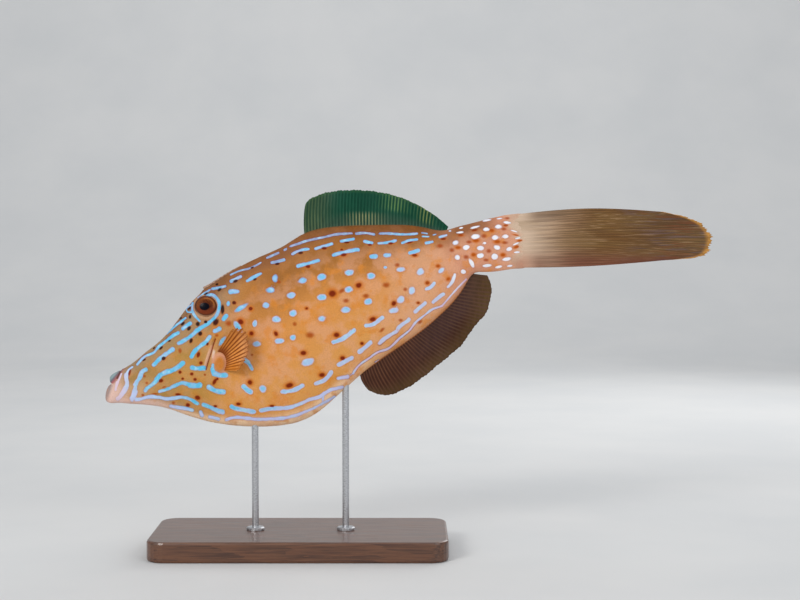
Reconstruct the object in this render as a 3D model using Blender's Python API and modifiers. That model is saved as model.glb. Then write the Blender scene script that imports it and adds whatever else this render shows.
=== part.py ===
"""Scrawled filefish, life size, held head down by a plain display stand.

Metres, +Z up. The snout points to -X and the left flank faces -Y. The origin is the centre of the
stand base's underside. The fish is one loft from the snout to the tail root, parted by thin flat
cuts, with its lips, eyes, fins and dorsal spine as pieces of their own.
"""
import math

import bmesh
import bpy
import numpy as np
from mathutils import Matrix, Vector

MM = 0.001
GAP = 0.3 * MM

# Stations of the body from the snout to the tail root, in millimetres: the point on the back (x, z),
# the point on the belly (x, z), the half width, and the bluntness of the section above and below
# its widest line, where 1 is an ellipse, less is fuller and more is a sharper keel.
BODY_STATIONS = (
    ((-157.1, 160.6), (-162.4, 130.9), 6.5, 0.85, 0.90),
    ((-147.8, 166.3), (-151.4, 130.5), 7.8, 0.85, 0.90),
    ((-136.4, 175.6), (-136.4, 129.4), 9.2, 0.85, 0.95),
    ((-124.1, 185.4), (-118.8, 126.3), 10.8, 0.82, 1.00),
    ((-112.6, 197.8), (-98.6, 119.4), 12.6, 0.78, 1.05),
    ((-101.9, 212.1), (-76.8, 113.7), 14.4, 0.74, 1.10),
    ((-89.8, 225.7), (-55.4, 110.6), 16.2, 0.74, 1.15),
    ((-74.8, 237.2), (-33.4, 109.8), 17.8, 0.80, 1.20),
    ((-48.7, 253.4), (-8.8, 112.4), 19.0, 0.95, 1.20),
    ((-16.7, 268.1), (15.8, 122.6), 19.0, 1.05, 1.20),
    ((3.5, 280.0), (39.6, 143.6), 17.6, 1.10, 1.20),
    ((35.2, 286.4), (68.6, 168.1), 15.0, 1.10, 1.15),
    ((77.1, 287.8), (99.4, 189.6), 12.0, 1.10, 1.15),
    ((105.6, 286.6), (123.2, 209.0), 9.6, 1.10, 1.10),
    ((125.8, 283.1), (142.6, 231.0), 8.0, 1.05, 1.05),
    ((137.3, 285.7), (151.8, 244.5), 7.0, 1.00, 1.00),
    ((149.6, 289.0), (160.2, 246.5), 6.4, 1.00, 1.00),
    ((167.2, 293.7), (175.1, 247.5), 5.6, 1.00, 1.00),
    ((190.1, 298.7), (192.7, 249.2), 4.4, 1.00, 1.00),
)
BODY_RINGS = 72
RING_POINTS = 26

# Flat cuts that part the body, each from its upper to its lower point (x, z) in millimetres.
GILL_CUT = ((-68.6, 240.2), (-77.4, 113.5))
TAIL_CUT = ((132.4, 284.2), (154.4, 246.0))

# Lips, front to back: upper point, lower point and half width, in millimetres. They run on past
# the snout's flat end, which trims them.
UPPER_LIP_STATIONS = (
    ((-167.6, 152.6), (-167.5, 150.6), 2.0, 1.0, 1.0),
    ((-166.3, 155.4), (-166.3, 148.8), 4.2, 1.0, 1.0),
    ((-163.7, 157.3), (-164.0, 148.1), 5.3, 1.0, 1.0),
    ((-160.6, 158.7), (-161.4, 147.6), 5.9, 1.0, 1.0),
    ((-155.0, 162.0), (-157.0, 147.4), 6.3, 1.0, 1.0),
)
LOWER_JAW_STATIONS = (
    ((-172.0, 139.0), (-172.1, 136.0), 2.0, 1.0, 1.0),
    ((-170.5, 143.6), (-171.2, 132.4), 4.3, 1.0, 1.0),
    ((-167.6, 146.0), (-168.7, 131.2), 5.6, 0.9, 0.9),
    ((-164.0, 146.6), (-165.4, 131.0), 6.2, 0.9, 0.9),
    ((-157.0, 146.8), (-159.0, 130.8), 6.6, 0.9, 0.9),
)
LIP_RINGS = 10
LIP_POINTS = 18

# The tail sweeps gently to the fish's left: the sideways shift starts at SWAY_START and reaches
# SWAY at SWAY_END, along X.
SWAY = -14.0 * MM
SWAY_START = 30.0 * MM
SWAY_END = 362.0 * MM

# Eyes: centre, half sizes and tilt of the flattened ball, and how far it looks up.
EYE_CENTRE = (-81.2, 9.3, 216.7)
EYE_HALF_SIZES = (10.6, 6.0, 9.6)
EYE_LOOKS_UP = math.radians(14.0)
EYE_SEGMENTS = 18
EYE_RINGS = 10

# Folded dorsal spine on the nape, from its root to its tip, along X.
SPINE_ROOT_X = -84.5
SPINE_TIP_X = -52.0
SPINE_ROOT_RADIUS = 1.3
SPINE_TIP_RADIUS = 0.35
SPINE_POINTS = 9

# Fins: where the base lies along the body, the outline of the free edge (x, z), the thickness at
# the base and at the edge, and the sideways ripple of the free edge, in millimetres.
DORSAL_BASE_X = (4.0, 129.0)
DORSAL_EDGE = ((3.2, 287.0), (3.4, 295.9), (8.4, 307.1), (14.1, 311.7), (29.4, 317.0), (48.4, 318.9),
               (77.1, 315.9), (105.6, 305.4), (120.0, 296.6), (130.6, 287.0))
ANAL_BASE_X = (52.5, 151.0)
ANAL_EDGE = ((52.9, 153.6), (59.0, 142.6), (73.4, 136.7), (88.6, 140.5), (116.2, 159.6),
             (130.7, 171.1), (144.9, 184.4), (153.6, 198.0), (163.1, 209.4), (168.0, 223.5),
             (168.8, 234.9), (166.0, 243.2))
FIN_BASE_THICKNESS = 2.4
FIN_EDGE_THICKNESS = 0.7
FIN_RIPPLE = 4.0
FIN_RIPPLE_WAVES = 2.2
FIN_COLUMNS = 24
FIN_ROWS = 5

# Tail fin: rays run from the root line through the middle line to the rounded end (x, z).
TAIL_ROOT = ((190.7, 298.5), (193.0, 249.5))
TAIL_MIDDLE = ((255.0, 301.9), (257.0, 252.0))
TAIL_END = ((316.8, 299.4), (331.0, 296.8), (344.1, 293.0), (353.6, 288.4), (360.3, 280.7),
            (362.2, 273.2), (360.3, 266.5), (354.6, 261.3), (345.0, 259.0), (330.0, 257.8),
            (318.0, 257.2))
TAIL_BASE_THICKNESS = 7.0
TAIL_EDGE_THICKNESS = 0.8
TAIL_FLESHY_LENGTH = 18.0
TAIL_RIPPLE = 2.5
TAIL_COLUMNS = 14
TAIL_ROWS = 12

# Pectoral fins: root line on the flank and free edge (x, z), and the angle each stands out.
PECTORAL_ROOT = ((-66.6, 173.6), (-63.4, 160.6))
PECTORAL_EDGE = ((-56.2, 198.5), (-50.2, 198.2), (-44.4, 195.0), (-42.2, 187.4), (-41.4, 178.0),
                 (-44.6, 168.8), (-51.0, 161.2))
PECTORAL_ROOT_OUT = 18.6
PECTORAL_FLARES = {"left": math.radians(40.0), "right": math.radians(33.0)}
PECTORAL_BASE_THICKNESS = 2.2
PECTORAL_EDGE_THICKNESS = 0.6
PECTORAL_COLUMNS = 12
PECTORAL_ROWS = 5

# Display stand.
BASE_LENGTH = 260.0 * MM
BASE_WIDTH = 120.0 * MM
BASE_THICKNESS = 18.0 * MM
BASE_CORNER_RADIUS = 16.0 * MM
BASE_EDGE_RADIUS = 2.0 * MM
ROD_RADIUS = 3.0 * MM
ROD_FLANGE_RADIUS = 8.0 * MM
ROD_FLANGE_THICKNESS = 2.5 * MM
ROD_DEPTH_IN_BASE = 10.0 * MM
ROD_DEPTH_IN_BELLY = 12.0 * MM
ROD_SEGMENTS = 16
RODS_X = {"front": -40.0 * MM, "rear": 40.0 * MM}


def clear_scene():
    """Remove what the scene holds."""
    for old in list(bpy.data.objects):
        bpy.data.objects.remove(old)


def make_collection(name):
    """Return a new collection in the scene."""
    collection = bpy.data.collections.new(name)
    bpy.context.scene.collection.children.link(collection)
    return collection


def make_material(name, colour, roughness, metallic=0.0):
    """Return a Principled material."""
    material = bpy.data.materials.new(name)
    material.use_nodes = True
    shader = material.node_tree.nodes["Principled BSDF"]
    shader.inputs["Base Color"].default_value = (*colour, 1.0)
    shader.inputs["Roughness"].default_value = roughness
    shader.inputs["Metallic"].default_value = metallic
    material.diffuse_color = (*colour, 1.0)
    return material


def add_object(name, form, material, collection):
    """Turn a bmesh into a smooth shaded object of the collection."""
    mesh = bpy.data.meshes.new(name)
    form.to_mesh(mesh)
    form.free()
    mesh.shade_smooth()
    mesh.set_sharp_from_angle(angle=math.radians(35.0))
    mesh.materials.append(material)
    piece = bpy.data.objects.new(name, mesh)
    collection.objects.link(piece)
    return piece


def natural_spline(knots, values):
    """Return a function for the natural cubic spline through the values at the knots."""
    knots = np.asarray(knots, dtype=float)
    values = np.asarray(values, dtype=float)
    steps = np.diff(knots)
    system = np.eye(len(knots))
    right = np.zeros_like(values)
    for i in range(1, len(knots) - 1):
        system[i, i - 1:i + 2] = (steps[i - 1], 2.0 * (steps[i - 1] + steps[i]), steps[i])
        slope_after = (values[i + 1] - values[i]) / steps[i]
        slope_before = (values[i] - values[i - 1]) / steps[i - 1]
        right[i] = 6.0 * (slope_after - slope_before)
    bends = np.linalg.solve(system, right)

    def at(places):
        i = np.clip(np.searchsorted(knots, places) - 1, 0, len(knots) - 2)
        step = steps[i][:, None]
        ahead = (places[:, None] - knots[i][:, None]) / step
        behind = 1.0 - ahead
        bow = (behind ** 3 - behind) * bends[i] + (ahead ** 3 - ahead) * bends[i + 1]
        return behind * values[i] + ahead * values[i + 1] + bow * step ** 2 / 6.0

    return at


def chord_knots(points):
    """Return the running length along a row of points."""
    lengths = np.linalg.norm(np.diff(np.asarray(points, dtype=float), axis=0), axis=1)
    return np.concatenate(([0.0], np.cumsum(lengths)))


def smooth_line(points, count):
    """Return count points, evenly spaced along the smooth curve through the given ones."""
    knots = chord_knots(points)
    dense = natural_spline(knots, points)(np.linspace(0.0, knots[-1], 40 * count))
    run = chord_knots(dense)
    places = np.linspace(0.0, run[-1], count)
    return np.stack([np.interp(places, run, dense[:, axis]) for axis in range(2)], axis=1)


def sway(x):
    """Return the sideways shift of the fish's middle plane at x."""
    part = max(0.0, (x - SWAY_START) / (SWAY_END - SWAY_START))
    return SWAY * part ** 2


def placed(x_mm, y_mm, z_mm):
    """Return a point given in millimetres, moved with the tail's sweep."""
    return Vector((x_mm * MM, y_mm * MM + sway(x_mm * MM), z_mm * MM))


def station_spline(stations):
    """Return the smooth run of the stations' numbers and its whole length."""
    rows = [(*top, *bottom, *shape) for top, bottom, *shape in stations]
    middles = [((row[0] + row[2]) / 2.0, (row[1] + row[3]) / 2.0) for row in rows]
    knots = chord_knots(middles)
    return natural_spline(knots, rows), knots[-1]


def loft(stations, ring_count, point_count):
    """Return a closed bmesh through smoothly blended stations."""
    spline, length = station_spline(stations)
    form = bmesh.new()
    rings = []
    for top_x, top_z, low_x, low_z, width, above, below in spline(np.linspace(0.0, length, ring_count)):
        ring = []
        for k in range(point_count):
            turn = 2.0 * math.pi * k / point_count
            down = 0.5 * (1.0 - math.cos(turn))
            bluntness = above if down < 0.5 else below
            out = math.copysign(abs(math.sin(turn)) ** bluntness, math.sin(turn))
            x_mm = top_x + (low_x - top_x) * down
            z_mm = top_z + (low_z - top_z) * down
            ring.append(form.verts.new(placed(x_mm, out * width, z_mm)))
        rings.append(ring)
    for ring, following in zip(rings, rings[1:]):
        for k in range(point_count):
            after = (k + 1) % point_count
            form.faces.new((ring[k], ring[after], following[after], following[k]))
    form.faces.new(rings[0])
    form.faces.new(rings[-1])
    bmesh.ops.recalc_face_normals(form, faces=form.faces)
    return form


def trim(form, cut, keep_rear, clearance):
    """Cut a bmesh by the flat cut, keep one side of it and close the cut face."""
    upper = Vector((cut[0][0] * MM, 0.0, cut[0][1] * MM))
    lower = Vector((cut[1][0] * MM, 0.0, cut[1][1] * MM))
    to_rear = (lower - upper).cross(Vector((0.0, 1.0, 0.0))).normalized()
    if to_rear.x < 0.0:
        to_rear.negate()
    outward = -to_rear if keep_rear else to_rear
    bmesh.ops.bisect_plane(form, geom=form.verts[:] + form.edges[:] + form.faces[:],
                           plane_co=upper - outward * clearance, plane_no=outward,
                           clear_outer=True)
    rim = [edge for edge in form.edges if edge.is_boundary]
    bmesh.ops.contextual_create(form, geom=rim)
    bmesh.ops.recalc_face_normals(form, faces=form.faces)
    return form


def rail(stations, upper):
    """Return a function that gives z on the body's back or belly line at x, in millimetres."""
    spline, length = station_spline(stations)
    line = spline(np.linspace(0.0, length, 600))
    first = 0 if upper else 2
    return lambda x_mm: float(np.interp(x_mm, line[:, first], line[:, first + 1]))


def surface_fin(name, rows, weights, thickness, edge_thickness, material, collection):
    """Make a fin from rows of points, thick where its weight is 1 and thin where it is 0."""
    form = bmesh.new()
    grid = [[form.verts.new(point) for point in row] for row in rows]
    for row, following in zip(grid, grid[1:]):
        for k in range(len(row) - 1):
            form.faces.new((row[k], row[k + 1], following[k + 1], following[k]))
    fin = add_object(name, form, material, collection)
    group = fin.vertex_groups.new(name="thickness")
    columns = len(rows[0])
    for i, weight in enumerate(weights):
        group.add(list(range(i * columns, (i + 1) * columns)), weight, "REPLACE")
    solid = fin.modifiers.new("Plate", "SOLIDIFY")
    solid.thickness = thickness * MM
    solid.offset = 0.0
    solid.vertex_group = group.name
    solid.thickness_vertex_group = edge_thickness / thickness
    return fin


def median_fin(name, base_line, base_x, edge, outward, material, collection):
    """Make the dorsal or anal fin between the body's outline and the fin's free edge."""
    base = [(x_mm, base_line(x_mm)) for x_mm in np.linspace(*base_x, FIN_COLUMNS)]
    tips = smooth_line(edge, FIN_COLUMNS)
    rows = []
    weights = []
    for i in range(FIN_ROWS + 1):
        out = i / FIN_ROWS
        row = []
        for k, (root, tip) in enumerate(zip(base, tips)):
            wave = math.sin(2.0 * math.pi * FIN_RIPPLE_WAVES * k / (FIN_COLUMNS - 1))
            x_mm = root[0] + (tip[0] - root[0]) * out
            z_mm = root[1] + (tip[1] - root[1]) * out + outward * GAP / MM * (1.0 - out)
            row.append(placed(x_mm, FIN_RIPPLE * wave * out ** 1.5, z_mm))
        rows.append(row)
        weights.append((1.0 - out) ** 1.5)
    return surface_fin(name, rows, weights, FIN_BASE_THICKNESS, FIN_EDGE_THICKNESS, material, collection)


def tail_fin(material, collection):
    """Make the long tail fin, thick at its fleshy base."""
    ends = smooth_line(TAIL_END, TAIL_COLUMNS)
    rows = []
    weights = []
    for i in range(TAIL_ROWS + 1):
        out = (i / TAIL_ROWS) ** 1.3
        row = []
        for k, end in enumerate(ends):
            across = k / (TAIL_COLUMNS - 1)
            root = [a + (b - a) * across for a, b in zip(*TAIL_ROOT)]
            middle = [a + (b - a) * across for a, b in zip(*TAIL_MIDDLE)]
            through = natural_spline((0.0, 0.5, 1.0), (root, middle, end))(np.array([out]))[0]
            wave = math.sin(2.0 * math.pi * (1.4 * across + 0.6 * out))
            row.append(placed(through[0], TAIL_RIPPLE * wave * out ** 2, through[1]))
        rows.append(row)
        length_mm = (TAIL_END[5][0] - TAIL_ROOT[0][0]) * out
        weights.append(math.exp(-(length_mm / TAIL_FLESHY_LENGTH)) * 0.75 + 0.25 * (1.0 - out))
    return surface_fin("caudal_fin", rows, weights, TAIL_BASE_THICKNESS, TAIL_EDGE_THICKNESS,
                       material, collection)


def pectoral_fin(side, sign, material, collection):
    """Make a pectoral fin, a flat fan that stands out from the flank."""
    tips = smooth_line(PECTORAL_EDGE, PECTORAL_COLUMNS)
    slope = math.tan(PECTORAL_FLARES[side])
    rows = []
    weights = []
    for i in range(PECTORAL_ROWS + 1):
        out = i / PECTORAL_ROWS
        row = []
        for k, tip in enumerate(tips):
            across = k / (PECTORAL_COLUMNS - 1)
            root = [a + (b - a) * across for a, b in zip(*PECTORAL_ROOT)]
            x_mm = root[0] + (tip[0] - root[0]) * out
            z_mm = root[1] + (tip[1] - root[1]) * out
            y_mm = PECTORAL_ROOT_OUT + slope * (x_mm - root[0])
            row.append(placed(x_mm, sign * y_mm, z_mm))
        rows.append(row)
        weights.append((1.0 - out) ** 1.5)
    return surface_fin("pectoral_fin_" + side, rows, weights, PECTORAL_BASE_THICKNESS,
                       PECTORAL_EDGE_THICKNESS, material, collection)


def eye_ball(name, sign, growth, material, collection):
    """Make a flattened eyeball, larger all round by growth."""
    form = bmesh.new()
    bmesh.ops.create_uvsphere(form, u_segments=EYE_SEGMENTS, v_segments=EYE_RINGS, radius=1.0)
    turn = Matrix.Rotation(math.pi / 2.0, 4, "X")
    sizes = [half * MM + growth for half in EYE_HALF_SIZES]
    stretch = Matrix.Diagonal((*sizes, 1.0))
    look = Matrix.Rotation(sign * EYE_LOOKS_UP, 4, "X")
    form.transform(look @ stretch @ turn)
    eye = add_object(name, form, material, collection)
    eye.location = (EYE_CENTRE[0] * MM, sign * EYE_CENTRE[1] * MM, EYE_CENTRE[2] * MM)
    return eye


def dorsal_spine(back_line, material, collection):
    """Make the slender first dorsal spine, folded back along the nape."""
    curve = bpy.data.curves.new("dorsal_spine", "CURVE")
    curve.dimensions = "3D"
    curve.bevel_depth = MM
    curve.bevel_resolution = 1
    curve.use_fill_caps = True
    spline = curve.splines.new("POLY")
    spline.points.add(SPINE_POINTS - 1)
    for i, point in enumerate(spline.points):
        along = i / (SPINE_POINTS - 1)
        x_mm = SPINE_ROOT_X + (SPINE_TIP_X - SPINE_ROOT_X) * along
        radius = SPINE_ROOT_RADIUS + (SPINE_TIP_RADIUS - SPINE_ROOT_RADIUS) * along
        clearance = 1.35 * (radius + GAP / MM)
        point.co = (x_mm * MM, 0.0, (back_line(x_mm) + clearance) * MM, 1.0)
        point.radius = radius
    curve.materials.append(material)
    spine = bpy.data.objects.new("dorsal_spine", curve)
    collection.objects.link(spine)
    return spine


def cut_away(piece, cutter, cutters):
    """Subtract a cutter from a piece with a Boolean modifier."""
    for collection in list(cutter.users_collection):
        collection.objects.unlink(cutter)
    cutters.objects.link(cutter)
    cutter.hide_render = True
    cutter.display_type = "WIRE"
    boolean = piece.modifiers.new("Cut " + cutter.name, "BOOLEAN")
    boolean.operation = "DIFFERENCE"
    boolean.solver = "EXACT"
    boolean.object = cutter


def turned_piece(name, profile, material, collection):
    """Turn a profile of (radius, height) points, given top to bottom, about Z."""
    form = bmesh.new()
    points = [form.verts.new((radius, 0.0, height)) for radius, height in profile]
    for above, below in zip(points, points[1:]):
        form.edges.new((above, below))
    piece = add_object(name, form, material, collection)
    screw = piece.modifiers.new("Turn", "SCREW")
    screw.steps = ROD_SEGMENTS
    screw.render_steps = ROD_SEGMENTS
    screw.use_merge_vertices = True
    screw.merge_threshold = 0.00005
    return piece


def stand_rod(place, belly_line, material, collection):
    """Make a rod with its flange, from inside the base to inside the belly."""
    x = RODS_X[place]
    top = belly_line(x / MM) * MM + ROD_DEPTH_IN_BELLY
    bottom = BASE_THICKNESS - ROD_DEPTH_IN_BASE
    flange_low = BASE_THICKNESS + GAP
    flange_high = flange_low + ROD_FLANGE_THICKNESS
    soft = 0.8 * MM
    profile = ((0.0, top), (ROD_RADIUS - soft, top), (ROD_RADIUS, top - soft), (ROD_RADIUS, flange_high),
               (ROD_FLANGE_RADIUS - soft, flange_high), (ROD_FLANGE_RADIUS, flange_high - soft),
               (ROD_FLANGE_RADIUS, flange_low), (ROD_RADIUS, flange_low), (ROD_RADIUS, bottom),
               (0.0, bottom))
    rod = turned_piece("stand_rod_" + place, profile, material, collection)
    rod.location.x = x
    return rod


def rod_bore(place, low, high, material, collection):
    """Make the cutter for a rod's hole between two heights."""
    form = bmesh.new()
    bmesh.ops.create_cone(form, cap_ends=True, segments=ROD_SEGMENTS, radius1=ROD_RADIUS + GAP,
                          radius2=ROD_RADIUS + GAP, depth=high - low)
    form.transform(Matrix.Rotation(math.pi / ROD_SEGMENTS, 4, "Z"))
    name = "bore_%s_%d" % (place, round(low / MM))
    bore = add_object(name, form, material, collection)
    bore.location = (RODS_X[place], 0.0, (low + high) / 2.0)
    return bore


def stand_base(material, collection):
    """Make the flat base with rounded corners."""
    form = bmesh.new()
    bmesh.ops.create_cube(form, size=1.0)
    form.transform(Matrix.Diagonal((BASE_LENGTH, BASE_WIDTH, BASE_THICKNESS, 1.0)))
    form.transform(Matrix.Translation((0.0, 0.0, BASE_THICKNESS / 2.0)))
    upright = [edge for edge in form.edges if abs((edge.verts[0].co - edge.verts[1].co).z) > MM]
    bmesh.ops.bevel(form, geom=upright, offset=BASE_CORNER_RADIUS, segments=6, profile=0.5,
                    affect="EDGES")
    base = add_object("stand_base", form, material, collection)
    bevel = base.modifiers.new("Eased edges", "BEVEL")
    bevel.width = BASE_EDGE_RADIUS
    bevel.segments = 2
    bevel.limit_method = "ANGLE"
    bevel.angle_limit = math.radians(40.0)
    return base


def build():
    """Build the fish and its stand."""
    clear_scene()
    parts = make_collection("scrawled_filefish")
    cutters = make_collection("cutters")
    skin = make_material("Orange skin", (0.72, 0.36, 0.14), 0.5)
    head_skin = make_material("Golden head skin", (0.62, 0.35, 0.12), 0.5)
    tail_skin = make_material("Peduncle skin", (0.75, 0.40, 0.22), 0.5)
    lip_skin = make_material("Pale lips", (0.60, 0.45, 0.42), 0.45)
    olive = make_material("Olive fin membrane", (0.12, 0.20, 0.10), 0.4)
    brown = make_material("Brown fin membrane", (0.20, 0.12, 0.07), 0.4)
    tan = make_material("Tan tail fin", (0.34, 0.22, 0.13), 0.45)
    amber = make_material("Amber fin membrane", (0.55, 0.28, 0.08), 0.4)
    eye = make_material("Eye", (0.20, 0.10, 0.05), 0.1)
    bone = make_material("Dorsal spine", (0.55, 0.45, 0.30), 0.5)
    wood = make_material("Dark wood", (0.10, 0.055, 0.03), 0.35)
    steel = make_material("Brushed steel", (0.60, 0.60, 0.60), 0.3, metallic=1.0)

    snout_end = BODY_STATIONS[0][:2]
    head = add_object("head", trim(loft(BODY_STATIONS, BODY_RINGS, RING_POINTS), GILL_CUT, False, GAP / 2.0),
                      head_skin, parts)
    trunk_form = trim(loft(BODY_STATIONS, BODY_RINGS, RING_POINTS), GILL_CUT, True, GAP / 2.0)
    trunk = add_object("trunk", trim(trunk_form, TAIL_CUT, False, GAP / 2.0), skin, parts)
    add_object("caudal_peduncle", trim(loft(BODY_STATIONS, BODY_RINGS, RING_POINTS), TAIL_CUT, True, GAP / 2.0),
               tail_skin, parts)
    for name, stations in (("upper_lip", UPPER_LIP_STATIONS), ("lower_jaw", LOWER_JAW_STATIONS)):
        lip = trim(loft(stations, LIP_RINGS, LIP_POINTS), snout_end, False, GAP)
        add_object(name, lip, lip_skin, parts)

    for side, sign in (("left", -1.0), ("right", 1.0)):
        eye_ball("eye_" + side, sign, 0.0, eye, parts)
        cut_away(head, eye_ball("socket_" + side, sign, GAP, eye, cutters), cutters)
        pectoral_fin(side, sign, amber, parts)

    back_line = rail(BODY_STATIONS, True)
    belly_line = rail(BODY_STATIONS, False)
    median_fin("dorsal_fin", back_line, DORSAL_BASE_X, DORSAL_EDGE, 1.0, olive, parts)
    median_fin("anal_fin", belly_line, ANAL_BASE_X, ANAL_EDGE, -1.0, brown, parts)
    tail_fin(tan, parts)
    dorsal_spine(back_line, bone, parts)

    base = stand_base(wood, parts)
    for place in RODS_X:
        stand_rod(place, belly_line, steel, parts)
        top = belly_line(RODS_X[place] / MM) * MM + ROD_DEPTH_IN_BELLY
        belly_bore = rod_bore(place, BASE_THICKNESS + ROD_FLANGE_RADIUS, top + GAP, steel, cutters)
        cut_away(trunk, belly_bore, cutters)
        base_bore = rod_bore(place, BASE_THICKNESS - ROD_DEPTH_IN_BASE - GAP, 2.0 * BASE_THICKNESS,
                             steel, cutters)
        cut_away(base, base_bore, cutters)


build()
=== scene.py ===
import math

import bmesh
import bpy
import numpy as np
from mathutils import Matrix, Vector


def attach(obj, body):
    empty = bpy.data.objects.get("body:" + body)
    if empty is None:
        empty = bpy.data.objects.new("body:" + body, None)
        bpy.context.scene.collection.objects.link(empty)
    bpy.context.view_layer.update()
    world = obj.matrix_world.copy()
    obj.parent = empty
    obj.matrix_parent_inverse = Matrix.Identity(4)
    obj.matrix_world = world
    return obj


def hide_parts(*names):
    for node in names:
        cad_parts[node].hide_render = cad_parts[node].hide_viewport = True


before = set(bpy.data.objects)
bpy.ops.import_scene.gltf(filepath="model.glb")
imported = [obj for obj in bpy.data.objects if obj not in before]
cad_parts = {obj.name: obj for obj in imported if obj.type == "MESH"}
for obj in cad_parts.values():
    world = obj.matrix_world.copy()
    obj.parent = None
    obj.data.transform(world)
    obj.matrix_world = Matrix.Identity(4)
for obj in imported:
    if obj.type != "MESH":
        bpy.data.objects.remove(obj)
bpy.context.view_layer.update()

# All sizes and places below are in millimetres in the frame's axes unless a name says otherwise.
# The fish heads towards -X, its left flank faces -Y and the camera looks along +Y.
MM = 0.001

# The camera's picture: 800 x 600, one pixel is 0.88 mm in the fish's middle plane.
PICTURE = (800.0, 600.0)
PIXEL = 0.88
VIEW_DISTANCE = 1500.0
VIEW_DOWN = math.radians(3.0)
VIEW_CENTRE = (88.0, 0.0, 221.8)
SENSOR = 36.0

# Stations of the body: back point, belly point, half width, bluntness above and below the middle.
BODY_STATIONS = (
    ((-157.1, 160.6), (-162.4, 130.9), 6.5, 0.85, 0.90),
    ((-147.8, 166.3), (-151.4, 130.5), 7.8, 0.85, 0.90),
    ((-136.4, 175.6), (-136.4, 129.4), 9.2, 0.85, 0.95),
    ((-124.1, 185.4), (-118.8, 126.3), 10.8, 0.82, 1.00),
    ((-112.6, 197.8), (-98.6, 119.4), 12.6, 0.78, 1.05),
    ((-101.9, 212.1), (-76.8, 113.7), 14.4, 0.74, 1.10),
    ((-89.8, 225.7), (-55.4, 110.6), 16.2, 0.74, 1.15),
    ((-74.8, 237.2), (-33.4, 109.8), 17.8, 0.80, 1.20),
    ((-48.7, 253.4), (-8.8, 112.4), 19.0, 0.95, 1.20),
    ((-16.7, 268.1), (15.8, 122.6), 19.0, 1.05, 1.20),
    ((3.5, 280.0), (39.6, 143.6), 17.6, 1.10, 1.20),
    ((35.2, 286.4), (68.6, 168.1), 15.0, 1.10, 1.15),
    ((77.1, 287.8), (99.4, 189.6), 12.0, 1.10, 1.15),
    ((105.6, 286.6), (123.2, 209.0), 9.6, 1.10, 1.10),
    ((125.8, 283.1), (142.6, 231.0), 8.0, 1.05, 1.05),
    ((137.3, 285.7), (151.8, 244.5), 7.0, 1.00, 1.00),
    ((149.6, 289.0), (160.2, 246.5), 6.4, 1.00, 1.00),
    ((167.2, 293.7), (175.1, 247.5), 5.4, 1.00, 1.00),
    ((184.0, 297.2), (186.6, 249.2), 3.7, 1.00, 1.00),
    ((190.0, 297.7), (192.0, 249.6), 2.4, 1.00, 1.00),
    ((196.0, 297.7), (197.5, 250.4), 1.1, 1.00, 1.00),
    ((200.0, 296.8), (201.0, 251.8), 0.3, 1.00, 1.00),
)
# The mouth, from deep inside over the lips to the snout: upper, lower and side point, half width.
MOUTH_STATIONS = (
    ((-156.0, 148.3), (-156.0, 147.3), (-156.0, 147.8), 1.2),
    ((-160.5, 148.6), (-161.0, 147.0), (-158.5, 147.8), 3.2),
    ((-165.0, 148.2), (-165.4, 147.2), (-162.4, 147.8), 4.2),
    ((-167.0, 148.7), (-168.2, 146.8), (-164.8, 147.8), 4.9),
    ((-167.9, 150.3), (-169.8, 144.9), (-165.7, 147.7), 5.4),
    ((-168.0, 152.7), (-171.2, 141.6), (-165.5, 147.4), 5.9),
    ((-167.0, 155.0), (-172.0, 136.0), (-164.6, 147.0), 6.2),
    ((-164.6, 157.0), (-171.1, 132.3), (-163.0, 146.5), 6.35),
    ((-161.2, 158.7), (-167.4, 130.8), (-161.0, 146.1), 6.45),
)
LIP_BLUNTNESS = 0.8
LIP_EDGE_STATION = 4
MOUTH_INSIDE_STATION = 2
HEAD_END_STATION = 8
MOUTH_RINGS = 40
HEAD_RINGS = 140
TRUNK_RINGS = 165
TAIL_END_CROWDING = 1.35
RING_POINTS = 280

# The tail sweeps to the fish's left.
SWAY = -14.0
SWAY_START = 30.0
SWAY_END = 362.0

EYE_CENTRE = (-81.2, 9.3, 216.7)
EYE_HALF_SIZES = (10.6, 6.0, 9.6)
EYE_LOOKS_UP = math.radians(14.0)
EYE_RINGS = 40
EYE_AROUND = 72

# The first dorsal spine lies folded back from its root (x, z) along the nape.
SPINE_ROOT = (-84.5, 230.6)
SPINE_TIP_X = -52.0
SPINE_ROOT_RADIUS = 1.3
SPINE_TIP_RADIUS = 0.35
SPINE_RINGS = 70
SPINE_AROUND = 14
SPINE_BUMP_HEIGHT = 0.9
SPINE_BUMP_WIDTH = 3.4

# The skin's relief. Swells are (height, length, seed), bells are (height, distance, width): lengths
# in millimetres, distances from the eye and the lobe in their half sizes, the others in pixels.
SKIN_SWELLS = ((0.22, 34.0, 3), (0.10, 11.0, 5))
EYE_SOCKET_DEPTH = 4.5
EYE_BELLS = ((0.75, 1.0, 0.10), (-0.35, 1.32, 0.13))
GILL_FOLD_AHEAD = 0.9
GILL_FOLD_BEHIND = 0.45
GILL_SLIT_BELLS = ((-1.5, 0.0, 0.8),)
LOBE_HEIGHT = 2.3
LOBE_BELLS = ((-0.5, 0.0, 0.45),)
NOSTRIL_BELLS = ((0.45, 1.9, 0.7), (-0.9, 0.0, 0.9))
LIP_FOLD_BELLS = ((0.25, 1.8, 1.0), (-0.6, 0.0, 0.9))

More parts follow.
